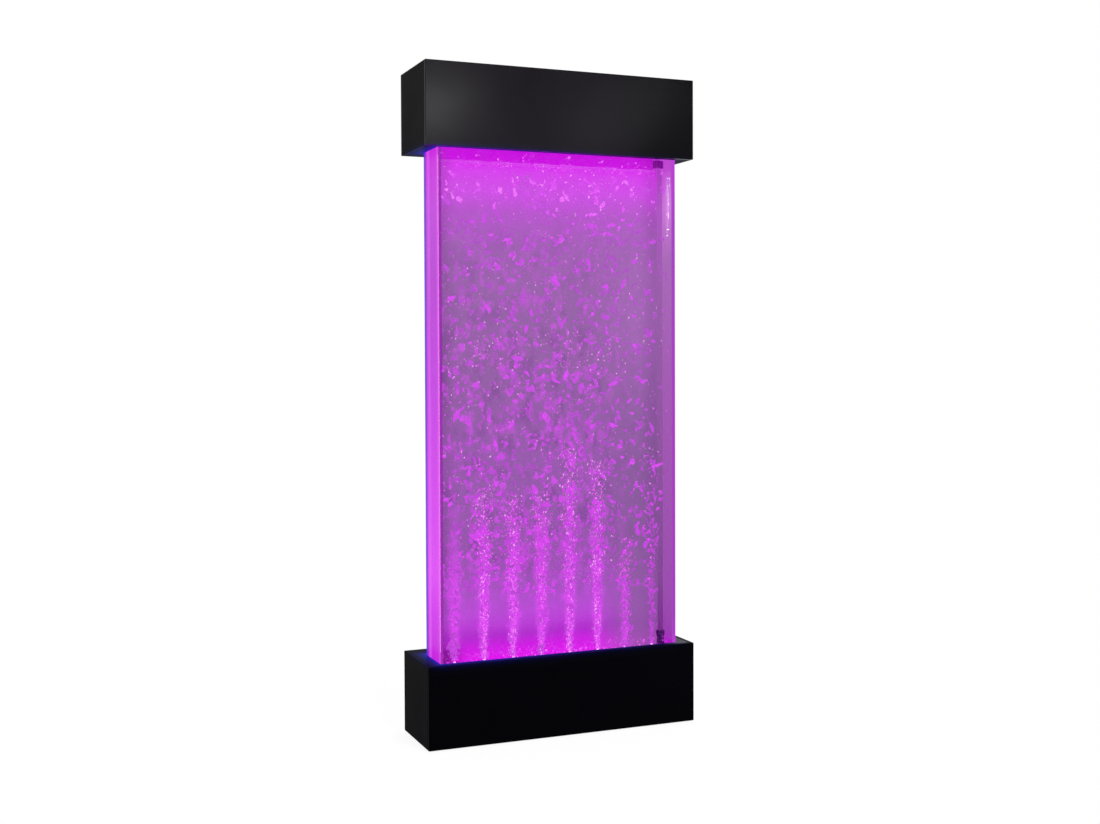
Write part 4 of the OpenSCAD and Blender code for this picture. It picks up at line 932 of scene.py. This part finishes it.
def geoTree(name, sockets):
    # a geometry tree whose inputs get their kind from the values given
    tree = bpy.data.node_groups.new(name, "GeometryNodeTree")
    kinds = {int: "Int", float: "Float", type(None): "Material"}
    for label, value in sockets.items():
        kind = "NodeSocket" + kinds[type(value)]
        socket = tree.interface.new_socket(label, in_out="INPUT", socket_type=kind)
        if value is not None:
            socket.default_value = value
    tree.interface.new_socket("Geometry", in_out="OUTPUT", socket_type="NodeSocketGeometry")
    return tree, addNode(tree, "NodeGroupInput").outputs, addNode(tree, "NodeGroupOutput").inputs


def step(tree, kind, geometry, **settings):
    # a node that takes in geometry and passes it on
    node = addNode(tree, kind, **settings)
    feed(tree, node.inputs["Geometry"], geometry)
    return node


def draw(tree, seed, offset, low=0.0, high=1.0):
    node = addNode(tree, "FunctionNodeRandomValue", data_type="FLOAT")
    give(tree, node, Min=low, Max=high, Seed=plus(tree, seed, float(offset)))
    return node.outputs["Value"]


def bell(tree, seed, offset):
    # mean of three draws from -1 to 1, most often near 0
    draws = [draw(tree, seed, offset + i, -1.0, 1.0) for i in range(3)]
    return calc(tree, "DIVIDE", plus(tree, *draws), 3.0)


def turnedBack(tree, value, low, high):
    # folds a place past either wall back inside, or else holds it at the wall
    value = calc(tree, "MINIMUM", value, minus(tree, times(tree, high, 2.0), value))
    value = calc(tree, "MAXIMUM", value, minus(tree, times(tree, low, 2.0), value))
    return calc(tree, "MAXIMUM", calc(tree, "MINIMUM", value, high), low)


bubblePlan = {
    # number of each random draw, added to the seed; a bell takes three in a row
    "draws": {
        "rise": 1, "x": 2, "y": 6, "glow": 11, "size": 12, "tall": 13, "tiltX": 14, "tiltY": 18, "turn": 22},
    "swayWave": 34.0,
    "swayStart": 77.0,
    "swayPower": 0.5,
    "glowPower": 1.6,
    "sideTilt": 3.0,
    "fullTurn": 6.28,
    "ragged": 110.0,
    "sockets": {
        "Count": 100, "Seed": 1, "Middle X": 0.0, "Middle Y": -0.02, "Low": 0.216, "High": 0.7,
        "Height Bias": 1.0, "Low Spread": 0.005, "High Spread": 0.03, "Spread Power": 0.7, "Depth Share": 1.0,
        "Sway": 0.004, "Small": 0.0012, "Large": 0.003, "Size Bias": 2.0, "Stretch": 1.0, "Tilt": 0.6,
        "Clump": 0.0, "Clump Size": 30.0, "Right Thin": 0.0, "Dim": 0.2, "Bright": 1.0, "Round": 1,
        "Wobble": 0.0, "Half Width": 0.33, "Front": -0.072, "Back": 0.031, "Material": None},
}


def makeBubbleTree(plan):
    tree, given, result = geoTree("risingBubbles", plan["sockets"])
    seed, draws = given["Seed"], plan["draws"]
    points = addNode(tree, "GeometryNodePoints")
    feed(tree, points.inputs["Count"], given["Count"])
    rise = calc(tree, "POWER", draw(tree, seed, draws["rise"]), given["Height Bias"])
    z = remap(tree, rise, 0.0, 1.0, given["Low"], given["High"])
    widening = calc(tree, "POWER", rise, given["Spread Power"])
    spread = remap(tree, widening, 0.0, 1.0, given["Low Spread"], given["High Spread"])
    phase = plus(tree, times(tree, z, plan["swayWave"]), times(tree, given["Middle X"], plan["swayStart"]))
    sway = times(tree, calc(tree, "SINE", phase), given["Sway"], calc(tree, "POWER", rise, plan["swayPower"]))
    x = plus(tree, given["Middle X"], sway, times(tree, bell(tree, seed, draws["x"]), spread))
    y = plus(tree, given["Middle Y"], times(tree, bell(tree, seed, draws["y"]), spread, given["Depth Share"]))
    x = turnedBack(tree, x, times(tree, given["Half Width"], -1.0), given["Half Width"])
    y = turnedBack(tree, y, given["Front"], given["Back"])
    placed = step(tree, "GeometryNodeSetPosition", points.outputs[0])
    feed(tree, placed.inputs["Position"], joined(tree, x, y, z))
    # bubbles gather in clouds: those in the thin parts of a noise field go
    field = noise(tree, addNode(tree, "GeometryNodeInputPosition").outputs[0], given["Clump Size"])
    fewer = times(tree, calc(tree, "MAXIMUM", x, 0.0), given["Right Thin"])
    thin = addNode(tree, "FunctionNodeCompare", data_type="FLOAT", operation="LESS_THAN")
    feedAll(tree, thin, (minus(tree, field, fewer), given["Clump"]))
    kept = step(tree, "GeometryNodeDeleteGeometry", placed.outputs[0], domain="POINT")
    feed(tree, kept.inputs["Selection"], thin.outputs[0])
    # painted light: a random glow for each bubble, from dim to bright
    glow = step(tree, "GeometryNodeStoreNamedAttribute", kept.outputs[0], data_type="FLOAT", domain="POINT")
    glow.inputs["Name"].default_value = "glow"
    lit = calc(tree, "POWER", draw(tree, seed, draws["glow"]), plan["glowPower"])
    feed(tree, glow.inputs["Value"], remap(tree, lit, 0.0, 1.0, given["Dim"], given["Bright"]))
    ball = addNode(tree, "GeometryNodeMeshIcoSphere")
    give(tree, ball, Radius=1.0, Subdivisions=given["Round"])
    size = calc(tree, "POWER", draw(tree, seed, draws["size"]), given["Size Bias"])
    size = remap(tree, size, 0.0, 1.0, given["Small"], given["Large"])
    tall = remap(tree, draw(tree, seed, draws["tall"]), 0.0, 1.0, 1.0, given["Stretch"])
    tiltX = times(tree, bell(tree, seed, draws["tiltX"]), given["Tilt"])
    tiltY = times(tree, bell(tree, seed, draws["tiltY"]), times(tree, given["Tilt"], plan["sideTilt"]))
    turn = draw(tree, seed, draws["turn"], 0.0, plan["fullTurn"])
    spreadOut = addNode(tree, "GeometryNodeInstanceOnPoints")
    sizes = joined(tree, size, size, times(tree, size, tall))
    turns = joined(tree, tiltX, tiltY, turn)
    give(tree, spreadOut, Points=glow.outputs[0], Instance=ball.outputs["Mesh"], Rotation=turns, Scale=sizes)
    real = step(tree, "GeometryNodeRealizeInstances", spreadOut.outputs[0])
    push = addNode(tree, "ShaderNodeVectorMath", operation="SCALE")
    position = addNode(tree, "GeometryNodeInputPosition").outputs[0]
    give(tree, push, Vector=wandering(tree, position, plan["ragged"]), Scale=given["Wobble"])
    shaken = step(tree, "GeometryNodeSetPosition", real.outputs[0])
    feed(tree, shaken.inputs["Offset"], push.outputs[0])
    dressed = step(tree, "GeometryNodeSetMaterial", shaken.outputs[0])
    feed(tree, dressed.inputs["Material"], given["Material"])
    feed(tree, result["Geometry"], dressed.outputs[0])
    return tree


bubbleTree = makeBubbleTree(bubblePlan)


def grow(values):
    # runs the tree once on an empty mesh and gives back the plain mesh it makes
    holder = linked("grown", bpy.data.meshes.new("grown"))
    modifier = holder.modifiers.new("grow", "NODES")
    modifier.node_group = bubbleTree
    for item in bubbleTree.interface.items_tree:
        if item.in_out == "INPUT" and item.name in values:
            modifier[item.identifier] = values[item.name]
    evaluated = holder.evaluated_get(bpy.context.evaluated_depsgraph_get())
    mesh = bpy.data.meshes.new_from_object(evaluated)
    holder.modifiers.clear()
    bpy.data.objects.remove(holder)
    return mesh


def joinMeshes(name, meshes):
    work = bmesh.new()
    for mesh in meshes:
        work.from_mesh(mesh)
    whole = bpy.data.meshes.new(name)
    work.to_mesh(whole)
    work.free()
    return whole


bubbleLook = {
    "grainBand": (0.35, 0.65),
    "nearTop": (1.36, 1.47, 0.0, 0.3),  # brighter under the lit waterline
    # painted light: more saturated magenta in the lower part, nearer the lights
    "lowPart": (0.55, 1.0, 1.0, 0.0),
    "lowTint": (1.0, 0.78, 1.0, 1),
}


def bubbleMaterial(name, stops, mottle, grain, look=bubbleLook):
    # painted light: each bubble's glow and glints, standing in for the LED light on it, broken up by a fine
    # grain so that clumps have no flat tone
    def colourOf(tree):
        place = objectPlace(tree)
        z = split(tree, place)[2]
        own = addNode(tree, "ShaderNodeAttribute", attribute_name="glow").outputs["Fac"]
        fine = remap(tree, noise(tree, place, grain, 2.0), *look["grainBand"], -mottle, mottle)
        bright = calc(tree, "ADD", plus(tree, own, remap(tree, z, *look["nearTop"])), fine, clamp=True)
        colour = ramp(tree, bright, [(at, screen(*tone)) for at, tone in stops])
        return blend(tree, remap(tree, z, *look["lowPart"]), colour, look["lowTint"], "MULTIPLY")
    return litMaterial(name, colourOf, Base_Color=screen(10, 6, 12), Specular_IOR_Level=0.0, Roughness=0.8)


# painted light: colours of the bubbles' glints and of the soft clumps' glow
sparkStops = [(0.0, (196, 72, 224)), (0.4, (228, 74, 247)), (0.72, (250, 118, 255)), (1.0, (255, 205, 255))]
clumpStops = [(0.0, (168, 84, 192)), (0.4, (198, 80, 224)), (0.75, (226, 80, 248)), (1.0, (248, 132, 255))]
sparkFinish = bubbleMaterial("bright bubbles", sparkStops, 0.1, 400.0)
clumpFinish = bubbleMaterial("soft bubbles", clumpStops, 0.2, 260.0)

columns = {
    "strength": [0.4, 1.0, 0.95, 0.9, 1.0, 1.0, 0.45, 0.35],
    # painted light: how brightly each column's bubbles glow
    "bright": [0.6, 1.0, 1.0, 0.9, 1.0, 1.0, 0.7, 0.4],
    "reach": [0.40, 0.58, 0.56, 0.56, 0.68, 0.64, 0.42, 0.66],  # height at which each column has broken up
    "sparksPast": 0.1,  # how far the sparks go past the clumps
    "sparkDim": 0.4,
    "clumpDim": 0.3,
    "clumpBright": 0.75,
    "counts": {"sparks": 1000, "threads": 130, "clumps": 170},
    "seeds": {"sparks": 40, "threads": 60, "clumps": 80},
    "sparks": {
        "Low": 0.216, "Height Bias": 1.3, "Low Spread": 0.010, "High Spread": 0.045, "Spread Power": 1.1,
        "Small": 0.0008, "Large": 0.0024, "Size Bias": 2.6, "Stretch": 2.0, "Material": sparkFinish},
    "threads": {
        "Low": 0.22, "High": 0.46, "Low Spread": 0.012, "High Spread": 0.024, "Small": 0.0006,
        "Large": 0.0011, "Stretch": 8.0, "Tilt": 0.12, "Dim": 0.3, "Material": sparkFinish},
    "clumps": {
        "Low": 0.22, "Height Bias": 1.1, "Low Spread": 0.014, "High Spread": 0.040, "Spread Power": 1.0,
        "Small": 0.0022, "Large": 0.0054, "Stretch": 2.2, "Round": 2, "Wobble": 0.012,
        "Material": clumpFinish},
}


def growStream(kind, index, plan, **more):
    # one kind of bubbles in one column
    middle = columnRow["first"] + index * columnRow["pitch"]
    count = int(plan["counts"][kind] * plan["strength"][index])
    seed = plan["seeds"][kind] + index
    return grow({**plan[kind], "Count": count, "Seed": seed, "Middle X": middle, **more})


def makeColumns(plan):
    sparkMeshes, clumpMeshes = [], []
    for i, (reach, bright) in enumerate(zip(plan["reach"], plan["bright"])):
        past, dim = reach + plan["sparksPast"], plan["sparkDim"] * bright
        sparkMeshes.append(growStream("sparks", i, plan, High=past, Dim=dim, Bright=bright))
        sparkMeshes.append(growStream("threads", i, plan, Bright=bright))
        dim, own = plan["clumpDim"] * bright, plan["clumpBright"] * bright
        clumpMeshes.append(growStream("clumps", i, plan, High=reach, Dim=dim, Bright=own))
    newPiece("columnSparks", joinMeshes("columnSparks", sparkMeshes))
    newPiece("columnClumps", joinMeshes("columnClumps", clumpMeshes))


makeColumns(columns)
dress(sparkFinish, "columnSparks")
dress(clumpFinish, "columnClumps")

throughout = {
    "Low Spread": 0.66, "High Spread": 0.70, "Spread Power": 0.2, "Depth Share": 0.16, "Right Thin": 0.1,
    "Material": sparkFinish}
inOneLayer = {
    "Low Spread": 0.70, "High Spread": 0.70, "Depth Share": 0.16, "Sway": 0.0, "Dim": 0.0,
    "Material": sparkFinish}
drifts = {
    "driftSparksLow": {
        **throughout, "Count": 1700, "Seed": 5, "Low": 0.40, "High": 1.1, "Height Bias": 0.95,
        "Small": 0.0007, "Large": 0.0025, "Size Bias": 3.0, "Stretch": 2.0, "Clump": 0.48, "Clump Size": 14.0,
        "Dim": 0.4},
    "driftSparksHigh": {
        **throughout, "Count": 1500, "Seed": 6, "Low": 1.0, "High": 1.545, "Height Bias": 1.2,
        "Small": 0.0006, "Large": 0.0021, "Size Bias": 3.0, "Stretch": 1.8, "Clump": 0.44, "Clump Size": 12.0,
        "Dim": 0.3},
    "driftClumps": {
        **throughout, "Count": 2900, "Seed": 7, "Low": 0.38, "High": 1.52, "Height Bias": 1.12,
        "Small": 0.0017, "Large": 0.0050, "Size Bias": 1.5, "Stretch": 4.2, "Tilt": 1.5, "Clump": 0.5,
        "Clump Size": 22.0, "Dim": 0.05, "Bright": 0.7, "Round": 2, "Wobble": 0.022, "Material": clumpFinish},
    "surfaceSparks": {
        **inOneLayer, "Count": 420, "Seed": 8, "Low": 1.541, "High": 1.5485, "Small": 0.0008,
        "Large": 0.0026, "Clump": 0.52, "Clump Size": 24.0, "Bright": 0.4},
    "splashDrops": {
        **inOneLayer, "Count": 420, "Seed": 11, "Low": 1.555, "High": 1.578, "Small": 0.0009,
        "Large": 0.0030, "Clump": 0.60, "Clump Size": 16.0, "Stretch": 1.6, "Bright": 0.6},
    "rootSparks": {
        **inOneLayer, "Count": 1100, "Seed": 9, "Low": 0.2085, "High": 0.236, "Height Bias": 1.3,
        "Small": 0.0008, "Large": 0.0028, "Clump": 0.47, "Clump Size": 26.0, "Bright": 0.8},
}
for name, plan in drifts.items():
    newPiece(name, grow(plan))
    dress(plan["Material"], name)
